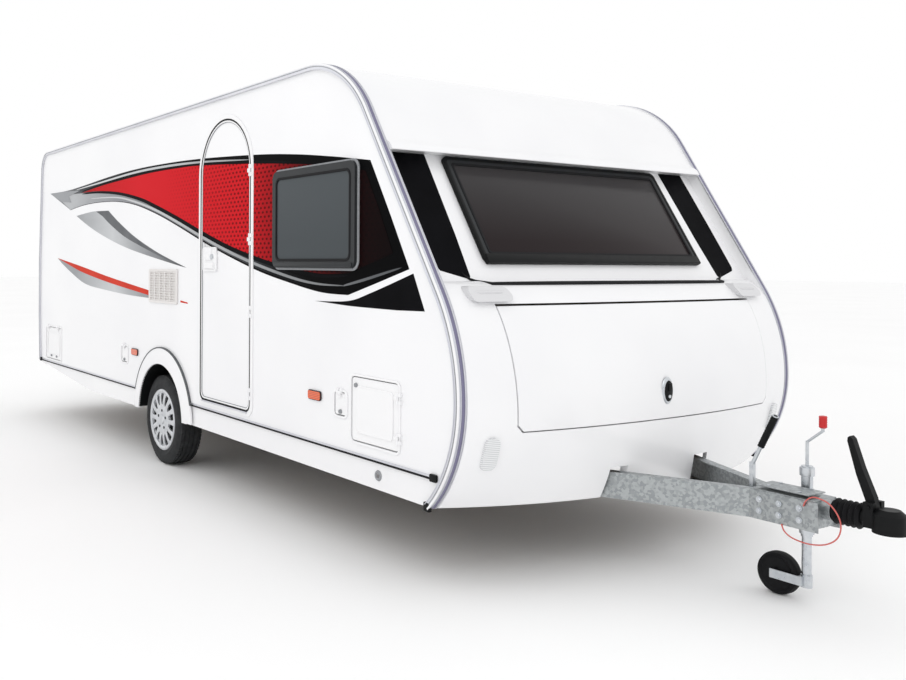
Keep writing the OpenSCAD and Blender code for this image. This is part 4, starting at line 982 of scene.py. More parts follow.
def side_graphic(side):
    """Red field, black and silver sweeps, and the fin, on one side."""
    tag = SIDE_NAME[side]
    split = side < 0
    top = curve_through(TOP_LINE)
    low = curve_through(LOW_LINE)
    end = [(2.81, 1.71), (2.955, 1.455), (2.7, 1.385)]
    film("sweep_" + tag, top + end + low[::-1], 1, "sweep", split, side)
    hem = curve_through([(-2.62, 2.145), (-2.3, 2.05), (-2.05, 1.962)])
    inner = curve_through([(-2.03, 2.105), (-1.32, 2.08), (-0.82, 2.035), (-0.37, 1.965), (-0.07, 1.895),
                           (0.31, 1.795), (0.7, 1.685), (1.08, 1.585), (1.47, 1.5), (1.89, 1.425), (2.1, 1.395)])
    lower = curve_through([(2.1, 1.345), (1.9, 1.375), (1.47, 1.452), (0.89, 1.592), (0.31, 1.755), (-0.07, 1.855),
                           (-0.48, 1.937), (-0.88, 1.98), (-1.3, 1.995), (-1.7, 1.99), (-2.05, 1.966)])
    film("lower_sweep_" + tag, inner + lower + hem[::-1], 2, "lower_sweep", split, side)
    red = curve_through(RED_TOP) + [(2.72, 1.74), (2.83, 1.53)] + curve_through(RED_LOW[::-1])[:-1]
    film("red_field_" + tag, red, 3, "red_field", split, side)
    edge = curve_through([(x, z - 0.012) for x, z in RED_LOW])
    film("red_edge_" + tag, band(edge, 0.03), 4, "black_film", split, side)
    edge = curve_through([(x, z + 0.01) for x, z in RED_TOP[:-2]])
    film("red_top_edge_" + tag, band(edge, 0.024), 4, "black_film", split, side)
    shine = curve_through([(-1.5, 2.035), (-0.88, 2.01), (-0.48, 1.955), (-0.07, 1.872), (0.31, 1.773), (0.7, 1.662),
                           (1.08, 1.562), (1.47, 1.475), (1.89, 1.4), (2.16, 1.37), (2.42, 1.365)])
    film("sweep_shine_" + tag, band(shine, 0.02), 5, "highlight", split, side)
    tail = curve_through([(2.4, 1.363), (2.6, 1.4), (2.9, 1.462)])
    film("sweep_tail_" + tag, band(tail, 0.014), 5, "highlight", False, side)
    gleam = curve_through([(-1.9, 2.135), (-1.3, 2.155), (-0.5, 2.18), (0.1, 2.178), (0.7, 2.157), (1.4, 2.11)])
    film("sweep_gleam_" + tag, band(gleam, 0.016), 5, "highlight", split, side)
    tip = [(-2.66, 2.148), (-2.2, 2.14), (-1.78, 2.125), (-2.1, 2.09), (-2.03, 2.03), (-2.3, 2.05)]
    film("sweep_tip_" + tag, tip, 6, "silver_film", False, side)
    leaf = curve_through([(-1.88, 1.9), (-1.6, 1.915), (-1.38, 1.92), (-1.06, 1.912)], 4)[:-1] + curve_through(
        [(-1.06, 1.912), (-0.85, 1.82), (-0.5, 1.69), (-0.1, 1.575), (0.2, 1.505), (0.48, 1.447)]) + curve_through(
        [(0.4, 1.455), (-0.11, 1.52), (-0.6, 1.59), (-1.0, 1.665), (-1.38, 1.752), (-1.66, 1.83), (-1.88, 1.9)])[:-1]
    film("grey_leaf_" + tag, leaf, 1, "silver_film", False, side)
    vein = curve_through([(-1.36, 1.918), (-1.06, 1.91)], 2) + curve_through(
        [(-0.85, 1.818), (-0.5, 1.688), (-0.1, 1.573), (0.45, 1.452)]) + curve_through(
        [(0.1, 1.512), (-0.32, 1.6), (-0.7, 1.69), (-1.0, 1.79), (-1.2, 1.87)])
    film("grey_leaf_vein_" + tag, vein, 2, "dark_silver", False, side)
    blade = curve_through([(-2.43, 1.52), (-1.72, 1.44), (-1.05, 1.36), (-0.18, 1.27)]) + curve_through(
        [(-0.18, 1.215), (-0.6, 1.225), (-1.1, 1.25), (-1.62, 1.29), (-2.0, 1.38), (-2.3, 1.47)])
    film("grey_blade_" + tag, blade, 1, "silver_film", False, side)
    red_line = curve_through([(-2.43, 1.52), (-1.72, 1.442), (-1.05, 1.362), (-0.18, 1.272)]) + curve_through(
        [(-0.18, 1.235), (-1.05, 1.315), (-1.71, 1.393), (-2.1, 1.46)])
    film("red_blade_" + tag, red_line, 2, "red_film", False, side)
    if side < 0:
        film("red_dash", [(0.385, 1.217), (0.5, 1.207), (0.51, 1.197), (0.385, 1.203)], 1, "red_film")
    fin = curve_through([(2.14, 1.277), (2.45, 1.288), (2.65, 1.335), (2.985, 1.435)]) + [(3.07, 1.262)] + \
        curve_through([(2.86, 1.258), (2.5, 1.262), (2.3, 1.27)])
    film("black_fin_" + tag, fin, 1, "black_film", False, side)


# ======================================================================
# door, hatches and windows
# ======================================================================
def make_door_trim():
    """White trim round the doorway and on the leaf, the leaf's inner line and its handle."""
    width = sizes().door_trim
    face = -WALL_Y
    ring("doorway_trim", doorway(-width), doorway(0.0), face - 0.007, face + 0.002, "hatch", "trailer",
         slot="white_wall", bevel=0.002)
    ring("doorway_seal", doorway(-0.0045), doorway(0.0048), face - 0.0078, face + 0.006, "seal", "trailer",
         angle=40)
    ring("leaf_edge", doorway(0.0065), doorway(0.016), face - 0.006, face + 0.002, "hatch", "door",
         slot="white_door", bevel=0.0015)
    ring("leaf_line", doorway(0.016), doorway(0.0195), face - 0.0045, face + 0.001, "grey_seal", "door")
    ring("handle_rim", round_rect(DOOR_X + 0.036, SILL_Z + 0.849, 0.2, 0.16, 0.02),
                round_rect(DOOR_X + 0.046, SILL_Z + 0.859, 0.18, 0.14, 0.014), face - 0.012, face - 0.001,
                "hatch", "door", slot="white_door", bevel=0.002)
    prism("handle_plate", round_rect(DOOR_X + 0.045, SILL_Z + 0.858, 0.182, 0.142, 0.015), face - 0.008,
                  face - 0.001, "hatch", "door", slot="white_door", bevel=0.0015)
    keep("handle_paddle", *joined([
        box_mesh(at(DOOR_X + 0.075, face - 0.022, SILL_Z + 0.869),
                 at(DOOR_X + 0.205, face - 0.006, SILL_Z + 0.909)),
        box_mesh(at(DOOR_X + 0.08, face - 0.016, SILL_Z + 0.926),
                 at(DOOR_X + 0.13, face - 0.006, SILL_Z + 0.964)),
    ]), "hatch", "door", slot="white_door", bevel=0.004)
    verts, faces = lathe([(0.0, 0.014), (0.014, 0.014), (0.016, 0.012), (0.016, 0.0)],
                         at(DOOR_X + 0.175, face - 0.006, SILL_Z + 0.946), "Y", 32, -1)
    keep("handle_lock", verts, faces, "zinc", "door", angle=40)
    step = [(DOOR_X + 0.03, SILL_Z - 0.012), (DOOR_X + DOOR_W - 0.03, SILL_Z - 0.012),
            (DOOR_X + DOOR_W - 0.03, SILL_Z - 0.003), (DOOR_X + 0.03, SILL_Z - 0.003)]
    prism("door_drip_rail", step, face - 0.016, face, "anodised", "trailer", bevel=0.001)


def hatch_trim(name, x, z, w, h, side, body, inner=True, lock=None):
    """A white frame round a hatch, the rib on its leaf and its lock."""
    face = side * WALL_Y

    def plate_y(depth):
        return sorted((face, face + side * depth))
    y0, y1 = plate_y(0.006)
    ring(name + "_frame", round_rect(x - 0.012, z - 0.012, w + 0.024, h + 0.024, 0.034),
         round_rect(x, z, w, h, 0.024), y0, y1, "hatch", "trailer", slot="white_wall", bevel=0.0018)
    if inner:
        margin = min(w, h) * 0.14
        ring(name + "_rib", round_rect(x + margin, z + margin, w - 2 * margin, h - 2 * margin, 0.022),
             round_rect(x + margin + 0.009, z + margin + 0.009, w - 2 * margin - 0.018, h - 2 * margin - 0.018,
                        0.016), y0, y1, "hatch", body, slot="white_door", bevel=0.0015)
    for lx, lz in lock or []:
        verts, faces = lathe([(0.0, 0.011), (0.009, 0.011), (0.011, 0.009), (0.012, 0.0)],
                             at(lx, face, lz), "Y", 28, side)
        keep(f"{name}_lock_{round(lx * 1000)}", verts, faces, "grey_seal", body, angle=40)


def make_hatches():
    hatch_trim("gas_hatch", 2.490, 0.580, 0.395, 0.330, -1, "gas_door", lock=[(2.53, 0.865)])
    hatch_trim("rear_hatch", -2.770, 0.545, 0.470, 0.310, -1, "rear_flap", lock=[(-2.6, 0.58), (-2.44, 0.58)])
    hatch_trim("cassette_hatch", -1.560, 0.570, 0.400, 0.340, 1, "cassette_flap",
               lock=[(-1.5, 0.61), (-1.22, 0.61)])
    hatch_trim("mains_flap", -0.735, 0.690, 0.130, 0.130, -1, "mains_cover", False, [(-0.67, 0.712)])
    hatch_trim("water_flap", 2.335, 0.690, 0.110, 0.125, -1, "water_cover", False, [(2.39, 0.712)])


def make_windows():
    """Rubber seals, raised inner frames and a foot strip on every side window."""
    frame_out = 0.025
    for tag, side, places in (("right", -1, (1.710,)), ("left", 1, (1.450, -1.850))):
        for x in places:
            face = side * (WALL_Y + frame_out)
            y0, y1 = sorted((face, face - side * 0.02))
            ring(f"pane_seal_{tag}_{round(x * 1000)}", round_rect(x + 0.036, 1.491, 0.758, 0.478, 0.04),
                 round_rect(x + 0.05, 1.505, 0.73, 0.45, 0.03), y0 - (0.003 if side < 0 else 0),
                 y1 + (0.003 if side > 0 else 0), "seal", "trailer", slot="frame_plastic", bevel=0.003)
            y0, y1 = span(side, WALL_Y, WALL_Y + 0.009)
            ring(f"window_bead_{tag}_{round(x * 1000)}", round_rect(x - 0.012, 1.443, 0.854, 0.574, 0.055),
                 round_rect(x + 0.002, 1.457, 0.826, 0.546, 0.043), y0, y1, "grey_seal", "trailer", bevel=0.002)
            y0, y1 = sorted((face, face + side * 0.006))
            prism(f"pane_foot_{tag}_{round(x * 1000)}", round_rect(x + 0.02, 1.462, 0.79, 0.024, 0.01), y0, y1,
                  "frame", "trailer", slot="frame_plastic", bevel=0.002)


def on_front(u, s, out):
    """A point on the front window panel: u across, s up the slope, out of its face."""
    x0 = FOOT[0] + (FOOT[1] - SHELF_Z) / math.tan(SLOPE) - RECESS * math.sin(SLOPE)
    z0 = SHELF_Z - RECESS * math.cos(SLOPE)
    return at(x0 - s * math.cos(SLOPE) + out * math.sin(SLOPE), u,
              z0 + s * math.sin(SLOPE) + out * math.cos(SLOPE))


def front_plate(name, outline, d0, d1, finish, **more):
    """A plate on the front panel with its outline across and up the slope."""
    n = len(outline)
    verts = [on_front(u, s, d) for d in (d0, d1) for u, s in outline]
    return keep(name, verts, plate_faces(n), finish, "trailer", **more)


def front_ring(name, outer, inner, d0, d1, finish, **more):
    n = len(outer)
    verts = [on_front(u, s, d) for d in (d0, d1) for line in (outer, inner) for u, s in line]
    return keep(name, verts, band_faces(n, n), finish, "trailer", **more)


def make_front_window():
    """Frame, seal and smoked pane of the front window, and the black strips beside and under it."""
    w, foot, length = 1.64, 0.14, 0.628
    front_ring("front_frame_bead", round_rect(-w / 2 - 0.004, foot - 0.004, w + 0.008, length + 0.008, 0.03),
               round_rect(-w / 2 + 0.016, foot + 0.016, w - 0.032, length - 0.032, 0.022), 0.004, 0.0245,
               "black_plastic", slot="frame_plastic", bevel=0.003)
    front_ring("front_pane_seal", round_rect(-w / 2 + 0.036, foot + 0.036, w - 0.072, length - 0.072, 0.02),
               round_rect(-w / 2 + 0.05, foot + 0.05, w - 0.1, length - 0.1, 0.014), 0.006, 0.025, "seal",
               slot="frame_plastic", bevel=0.002)
    front_plate("front_pane", round_rect(-w / 2 + 0.043, foot + 0.043, w - 0.086, length - 0.086, 0.016), 0.005,
                0.0195, "front_glass", slot="smoked_acrylic", bevel=0.002)
    front_plate("front_sill", round_rect(-w / 2 + 0.004, foot - 0.012, w - 0.008, 0.05, 0.008), 0.003, 0.03,
                "black_plastic", slot="frame_plastic", bevel=0.005)
    for side, tag in SIDE_NAME.items():
        strip = [(side * 0.915, 0.8), (side * 1.125, 0.8), (side * 1.13, 0.4), (side * 1.128, 0.12),
                 (side * 1.115, 0.096), (side * 0.96, 0.048), (side * 0.945, 0.062), (side * 0.93, 0.3)]
        front_plate("black_strip_" + tag, strip, 0.0001, 0.0012, "black_film")


def make_shelf_seal():
    """Black seal where the window panel meets the nose, turned up and tapered at both ends."""
    half_y, seal_z, rows = 0.88, 1.388, 36
    path, widths = [], []
    for k in range(-rows, rows + 1):
        y = half_y * k / rows
        path.append(at(nose_x(y, seal_z - 0.002) + 0.001, y, seal_z))
        widths.append(0.012 - 0.003 * (y / half_y) ** 4)
    tips = ((0.992, 0.085, 0.0015), (0.978, 0.066, 0.004), (0.958, 0.048, 0.0065), (0.925, 0.034, 0.0085))
    for side in (-1, 1):
        tip = [on_front(side * u, s, 0.002) for u, s, r in tips]
        path = tip + path if side < 0 else path + tip[::-1]
    ends = [r for u, s, r in tips]
    verts, faces = sweep(path, 1.0, 14)
    widths = ends + widths + ends[::-1]
    shaped = [path[i // 14] + (v - path[i // 14]) * widths[i // 14] for i, v in enumerate(verts)]
    keep("shelf_seal", shaped, faces, "seal", "trailer", angle=60)


def make_nose_details():
    """Latch of the locker lid with its chrome rim and key plate."""
    z = 0.862
    x = nose_x(0, z)
    tall = 1.75  # the latch is an oval, this much taller than wide
    make_shelf_seal()
    for name, profile, finish in (
            ("latch_rim", [(0.0, 0.010), (0.028, 0.010), (0.036, 0.007), (0.040, 0.0), (0.0, 0.0)], "zinc"),
            ("latch_plate", [(0.0, 0.016), (0.022, 0.016), (0.029, 0.012), (0.031, 0.004)], "black_plastic")):
        verts, faces = lathe(profile, at(x + 0.001, 0, z), "X", 48)
        stretched = [Vector((v.x, v.y, z + (v.z - z) * tall)) for v in verts]
        keep(name, stretched, faces, finish, "lid", angle=40)
    keep("latch_grip", *box_mesh(at(x + 0.012, -0.012, z + 0.0), at(x + 0.024, 0.012, z + 0.04)), "black_plastic",
         "lid", bevel=0.004)
    verts, faces = lathe([(0.0, 0.006), (0.008, 0.006), (0.01, 0.0)], at(x + 0.014, 0, z - 0.026), "X", 24)
    keep("latch_key", verts, faces, "zinc", "lid", angle=40)


# ======================================================================
# rails, skirts and arches
# ======================================================================
def rail_points(d):
    """The rail's line along the rear, roof, slope and nose, inset by d."""
    base = 0.51
    out = [(REAR_X + 0.03 + d, base), (REAR_X + d, base + 0.42), (REAR_X + d, base + 1.0)]
    out += arc_line(REAR_C, REAR_R - d, 180, 90, 16)
    out += arc_line(ROOF_C, ROOF_R - d, 90, SLOPE_TURN, 32)
    out += arc_line((NOSE_X - NOSE_R, NOSE_Z), NOSE_R - d, SLOPE_TURN, 0, 20)
    foot_turn = math.degrees(math.asin((NOSE_Z - SKIRT_Z) / CHIN_R))
    return out + arc_line((NOSE_X - CHIN_R, NOSE_Z), CHIN_R - d, 0, -foot_turn, 20)


def rail_strip(name, d0, d1, y0, y1, finish, side):
    """A strip along the rail between two insets."""
    a, b = rail_points(d0), rail_points(d1)
    n = len(a)
    verts = [at(x, side * y, z) for y in (y0, y1) for line in (a, b) for x, z in line]
    faces = band_faces(n, n - 1)
    faces += [(0, n, 3 * n, 2 * n), (n - 1, 3 * n - 1, 4 * n - 1, 2 * n - 1)]
    return keep(name, verts, faces, finish, "trailer", angle=40)


def make_rails():
    """Coloured inserts, awning groove lips and the white returns inside the corner rails."""
    wide = sizes().rail_strip
    for side, tag in SIDE_NAME.items():
        y = WALL_Y + 0.014
        rail_strip("rail_cover_" + tag, -0.0035, 0.001, y - 0.051, y - 0.001, "hatch", side)
        rail_strip("rail_insert_" + tag, -0.0045, -0.003, y - 0.037, y - 0.037 + wide, "strip", side)
        for k, (near, far) in enumerate(((0.051, 0.047), (0.0405, 0.037), (0.0165, 0.0125))):
            rail_strip(f"rail_rib_{k}_{tag}", -0.0075, -0.003, y - near, y - far, "anodised", side)
        rail_strip("rail_bead_" + tag, -0.006, 0.0025, y - 0.0045, y + 0.0025, "hatch", side)
        # painted shade: a grey strip on the rail's side stands for the shade line along the rail
        rail_strip("rail_painted_shade_line_" + tag, 0.0075, 0.0115, y - 0.001, y + 0.0012, "grey_seal", side)
        rail_strip("rail_lip_" + tag, 0.0225, 0.0265, y - 0.001, y + 0.002, "anodised", side)
        lo = rail_points(-0.004)[-1]
        keep("rail_end_" + tag, *box_mesh(at(lo[0] - 0.03, side * (WALL_Y + 0.0155), lo[1] - 0.012),
                                          at(lo[0] + 0.01, side * (WALL_Y - 0.004), lo[1] + 0.03)),
             "black_plastic", "trailer", bevel=0.003)


def make_skirt_details():
    """Aluminium hem of the skirts and the plugs in their jacking holes."""
    for side, tag in SIDE_NAME.items():
        y = span(side, WALL_Y + 0.0012, WALL_Y + 0.006)
        for k, (x0, x1) in enumerate(((REAR_X + 0.05, -0.43), (0.53, 3.14))):
            prism(f"wall_hem_{k}_{tag}", [(x0, 0.514), (x1, 0.514), (x1, 0.524), (x0, 0.524)], y[0], y[1],
                  "anodised", "trailer", bevel=0.001)
            # a black strip just under the aluminium hem draws the thin dark line along the foot of the wall
            prism(f"hem_dark_line_{k}_{tag}", [(x0, 0.5035), (x1, 0.5035), (x1, 0.5125), (x0, 0.5125)], y[0], y[1],
                  "seal", "trailer")
            end = x1 if k else x0
            cap = span(side, WALL_Y + 0.0012, WALL_Y + 0.0125)
            prism(f"hem_cap_{k}_{tag}", round_rect(end - 0.02, 0.496, 0.05, 0.036, 0.008), cap[0], cap[1],
                  "black_plastic", "trailer", bevel=0.003)
        verts, faces = lathe([(0.012, 0.004), (0.019, 0.008), (0.024, 0.006), (0.027, 0.0)],
                             at(2.71, side * (WALL_Y - 0.008), 0.44), "Y", 40, side)
        keep("skirt_ring_" + tag, verts, faces, "grey_seal", "trailer", angle=40)


ARCH_IN = (0.05, 0.345, 0.395)
ARCH_OUT = (0.08, 0.34, 0.518)
FLARE_FOOT = 0.375  # height of the flare's feet
SEAL_FOOT = 0.505  # the outer seal stops at the hem of the wall
HOUSE_FOOT = 0.38
HOUSE_IN = 0.912  # the wheel house reaches in to here


def arch_line(circle, foot, n=72):
    """The upper part of a circle (x, z, radius), down to the height of its feet."""
    x, z, r = circle
    a = math.degrees(math.asin((foot - z) / r))
    return arc_line((x, z), r, a, 180 - a, n)


def make_arches():
    """White flare round each wheel opening, its dark outer seal, and the black wheel house."""
    for side, tag in SIDE_NAME.items():
        y = span(side, WALL_Y + 0.0004, WALL_Y + 0.0155)
        inner, outer = arch_line(ARCH_IN, FLARE_FOOT), arch_line(ARCH_OUT, FLARE_FOOT)
        prism("arch_flare_" + tag, outer + inner[::-1], y[0], y[1], "moulding", "trailer",
              slot="white_moulding", bevel=0.004)
        x, z, r = ARCH_OUT
        seal = arch_line((x, z, r + 0.007), SEAL_FOOT)
        prism("arch_seal_" + tag, seal + arch_line((x, z, r - 0.001), SEAL_FOOT)[::-1],
              *span(side, WALL_Y + 0.0005, WALL_Y + 0.0165), "dark_seal", "trailer", angle=40)
        x, z, r = ARCH_IN
        shell = arch_line((x, z, r + 0.003), HOUSE_FOOT)
        prism("wheel_house_" + tag, shell + arch_line((x, z, r), HOUSE_FOOT)[::-1],
              *span(side, WALL_Y + 0.012, HOUSE_IN), "black_plastic", "trailer", angle=40)


# ======================================================================
# wheels
# ======================================================================
def make_wheel(side):
    """A tyre with tread and sidewall, and a wheel trim with its spokes, cap and bolts."""
    tag = SIDE_NAME[side]
    body = "wheel_" + tag
    centre = Vector((AXLE_X, side * TRACK / 2, TYRE_R))
    half = TYRE_W / 2
    rim = 0.2175
    profile = [(rim - 0.008, -half + 0.022), (rim + 0.004, -half + 0.012), (rim + 0.01, -half + 0.008),
               (rim + 0.016, -half + 0.0045), (rim + 0.036, -half + 0.001), (rim + 0.038, -half - 0.0002),
               (rim + 0.044, -half), (rim + 0.062, -half + 0.003), (rim + 0.076, -half + 0.007),
               (rim + 0.088, -half + 0.015), (TYRE_R - 0.011, -half + 0.021), (TYRE_R - 0.009, -half + 0.03)]
    grooves = (-0.052, -0.018, 0.018, 0.052)
    tread = []
    for g in grooves:
        tread += [(TYRE_R - 0.002, g - 0.0055), (TYRE_R - 0.009, g - 0.0045), (TYRE_R - 0.009, g + 0.0045),
                  (TYRE_R - 0.002, g + 0.0055)]
    profile = profile + tread + [(r, -h) for r, h in reversed(profile)]
    verts, faces = lathe(profile, centre, "Y", 120)
    count = sizes().tread_blocks
    blocks = []
    for row, (y0, y1) in enumerate(((-0.078, -0.0585), (-0.045, -0.0248), (-0.0105, 0.0105), (0.0248, 0.045),
                                    (0.0585, 0.078))):
        for i in range(count):
            a0 = math.tau * (i + 0.5 * (row % 2)) / count
            a1 = a0 + math.tau / count * 0.74
            lean = 0.25 * math.tau / count * (1 if row < 2 else -1 if row > 2 else 0)
            ring_points = []
            for r in (TYRE_R - 0.008, TYRE_R - 0.0001):
                for a, y in ((a0, y0), (a1, y0), (a1 + lean, y1), (a0 + lean, y1)):
                    shoulder = 0.003 if abs(y) > 0.07 else 0
                    ring_points.append(centre + Vector((math.cos(a) * (r - shoulder), y,
                                                        math.sin(a) * (r - shoulder))))
            blocks.append((ring_points, [(3, 2, 1, 0), (4, 5, 6, 7), (0, 1, 5, 4), (1, 2, 6, 5), (2, 3, 7, 6),
                                         (3, 0, 4, 7)]))
    made = keep("tyre_tread_" + tag, *joined([(verts, faces)] + blocks), "tyre", body,
                slot="tyre_rubber", angle=32)
    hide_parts("tyre_" + tag)

    out = side * (half - 0.016)
    hub = centre + Vector((0, out, 0))
    n = sizes().spokes
    parts = [lathe([(0.2, -0.008), (0.2235, 0.004), (0.2225, 0.0095), (0.218, 0.013), (0.21, 0.0135),
                    (0.2, 0.011), (0.193, 0.006), (0.192, -0.008)], hub, "Y", 112, side)]
    for i in range(n):
        turn = Matrix.Rotation(math.tau * i / n, 3, "Y")
        outline = [(0.1, -0.02, 0.009), (0.125, -0.0165, 0.0125), (0.165, -0.015, 0.0115), (0.2, -0.023, 0.007),
                   (0.2, 0.023, 0.007), (0.165, 0.015, 0.0115), (0.125, 0.0165, 0.0125), (0.1, 0.02, 0.009)]
        crest = [(0.1, 0, 0.011), (0.125, 0, 0.0165), (0.165, 0, 0.0155), (0.2, 0, 0.009)]
        pts = [hub + turn @ Vector((r, side * (h - 0.012), w)) for r, w, h in outline]
        pts += [hub + turn @ Vector((r, side * h, w)) for r, w, h in outline]
        pts += [hub + turn @ Vector((r, side * h, w)) for r, w, h in crest]
        fcs = [tuple(range(8))] + [(k, k + 8, (k + 1) % 8 + 8, (k + 1) % 8) for k in range(8)]
        fcs += [(8 + k, 9 + k, 17 + k, 16 + k) for k in range(3)]
        fcs += [(15 - k, 16 + k, 17 + k, 14 - k) for k in range(3)]
        fcs += [(15, 8, 16), (12, 19, 11)]
        parts.append((pts, fcs))
    parts.append(lathe([(0.0, 0.019), (0.03, 0.0185), (0.034, 0.015), (0.036, 0.0105), (0.06, 0.0125), (0.095, 0.013),
                        (0.112, 0.010), (0.116, -0.006)], hub, "Y", 84, side))
    keep("wheel_trim_" + tag, *joined(parts), "wheel", body, slot="wheel_silver", angle=38)
    bolts = []
    for i in range(5):
        a = math.tau * (i + 0.25) / 5
        place = hub + Vector((math.cos(a) * 0.066, side * 0.0115, math.sin(a) * 0.066))
        bolts.append(lathe([(0.0, 0.0035), (0.0095, 0.0035), (0.011, 0.0)], place, "Y", 24, side))
    keep("wheel_bolts_" + tag, *joined(bolts), "black_plastic", body, angle=40)
    # painted shade: a black disc behind the spokes stands for the shade inside the wheel
    back = lathe([(0.1, 0.0), (0.2, 0.0), (0.2, -0.002), (0.1, -0.002)],
                 centre + Vector((0, side * (half - 0.024), 0)), "Y", 72, side)
    keep("wheel_shadow_ring_" + tag, *back, "black_plastic", body, angle=40)


# ======================================================================
# hitch
# ======================================================================
def bolt(x, y, z, axis, flip, r=0.009, high=0.007):
    """A hexagon head on its washer."""
    centre = at(x, y, z)
    return joined([lathe([(0.0, 0.0025), (r * 1.5, 0.0025), (r * 1.6, 0.0)], centre, axis, 24, flip),
                   lathe([(0.0, high + 0.0025), (r * 0.85, high + 0.0025), (r, high + 0.0015), (r, 0.0025)],
                         centre, axis, 6, flip)])


def make_hitch():
    """Bolts, plates, grips and clamps round the coupling."""
    parts = []
    for side in (-1, 1):
        for x in (3.98, 4.07, 4.16):
            for z in (0.405, 0.455):
                if side < 0 or abs(x - 4.08) > 0.05:
                    parts.append(bolt(x, side * 0.086, z, "Y", side))
    keep("drawbar_bolts", *joined(parts), "zinc", "trailer", slot="galvanised_steel", angle=30)
    parts = []
    for x, y in ((4.0, -0.045), (4.0, 0.045), (4.14, -0.045), (4.14, 0.045)):
        parts.append(bolt(x, y, 0.509, "Z", 1))
    keep("housing_bolts", *joined(parts), "zinc", "trailer", slot="galvanised_steel", angle=30)
    lid = [(3.95, 0.508), (4.19, 0.508), (4.19, 0.514), (3.95, 0.514)]
    prism("housing_lid", lid, -0.062, 0.062, "galvanised", "trailer", slot="galvanised_steel", bevel=0.002)
    grip_path = handbrake_grip()
    keep("brake_grip", *grip_path, "black_plastic", "brake_lever", slot="black_plastic", angle=40)
    x, y, z = 4.08 + 0.0689, 0.112, 0.7588
    ribs = [(0.0155 + 0.0016 * (k % 2), 0.053 - 0.0052 * k) for k in range(10)]
    knob = lathe([(0.0, 0.056)] + ribs + [(0.012, 0.0)], at(x, y, z + 0.016), "Z", 40)
    keep("crank_knob", *knob, "red_plastic", "trailer", angle=40)
    collars = [lathe([(0.0245, 0.0), (0.03, 0.002), (0.031, 0.02), (0.03, 0.038), (0.0245, 0.04)],
                        at(4.08, 0.112, zz), "Z", 48) for zz in (0.30, 0.555)]
    keep("jockey_collars", *joined(collars), "zinc", "trailer", slot="zinc_tube", angle=40)
    clamp = joined([
        lathe([(0.0245, 0.0), (0.036, 0.0), (0.038, 0.003), (0.038, 0.057), (0.036, 0.06), (0.0245, 0.06)],
              at(4.08, 0.112, 0.395), "Z", 48),
        box_mesh(at(4.04, 0.0855, 0.4), at(4.12, 0.0895, 0.45)),
        box_mesh(at(4.07, 0.14, 0.405), at(4.09, 0.175, 0.445)),
    ])
    keep("jockey_clamp", *clamp, "black_plastic", "trailer", slot="black_plastic", bevel=0.002)
    keep("jockey_foot_plate", *joined([
        box_mesh(at(4.02, 0.03, 0.338), at(4.14, 0.0845, 0.352)),
        box_mesh(at(4.05, 0.0855, 0.335), at(4.11, 0.0895, 0.39)),
    ]), "black_plastic", "trailer", slot="black_plastic", bevel=0.002)
    handle = sweep([at(4.08, 0.158, 0.425), at(4.08, 0.185, 0.425), at(4.078, 0.2, 0.415), at(4.075, 0.205, 0.38),
                    at(4.072, 0.206, 0.35)], 0.005, 10)
    keep("clamp_handle", *handle, "zinc", "trailer", angle=50)


def handbrake_grip():
    """Ribbed grip over the bent top of the handbrake lever."""
    foot = Vector((3.905, -0.018, 0.4695 + 0.12))
    lean = Vector((math.sin(math.radians(25)), 0, math.cos(math.radians(25))))
    rings = 26
    verts, faces = [], []
    side_v = Vector((0, 1, 0))
    front_v = lean.cross(side_v).normalized()
    sides = 24
    for i in range(rings + 1):
        t = i / rings
        r = 0.0142 + (0.0012 if i % 2 else 0) - (0.006 if i in (0, rings) else 0)
        c = foot + lean * (0.088 + 0.168 * t)
        for k in range(sides):
            a = math.tau * k / sides
            p = c + r * (math.cos(a) * side_v + math.sin(a) * front_v)
            verts.append(at(p.x, p.y, p.z))
    for i in range(rings):
        for k in range(sides):
            m = (k + 1) % sides
            faces.append((i * sides + k, (i + 1) * sides + k, (i + 1) * sides + m, i * sides + m))
    faces += [tuple(range(sides)), tuple(rings * sides + k for k in reversed(range(sides)))]
    return verts, faces


CABLE_ROUTE = [(4.180, -0.0885, 0.470), (4.200, -0.100, 0.500), (4.240, -0.112, 0.522), (4.300, -0.118, 0.512),
               (4.340, -0.118, 0.470), (4.350, -0.114, 0.420), (4.330, -0.110, 0.370), (4.280, -0.106, 0.335),
               (4.210, -0.102, 0.320), (4.140, -0.098, 0.326), (4.100, -0.092, 0.345), (4.085, -0.0885, 0.372)]


def make_cable():
    """Breakaway cable: a thin sheathed wire from the brake rod round to the drawbar arm."""
    path = [at(*p) for p in curve_through(CABLE_ROUTE, 8)]
    verts, faces = sweep(path, 0.003, 12)
    made = keep("breakaway_wire", verts, faces, "red_sheath", None)
    dress(made, "red_sheath", "trailer", angle=60)
    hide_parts("breakaway_cable")


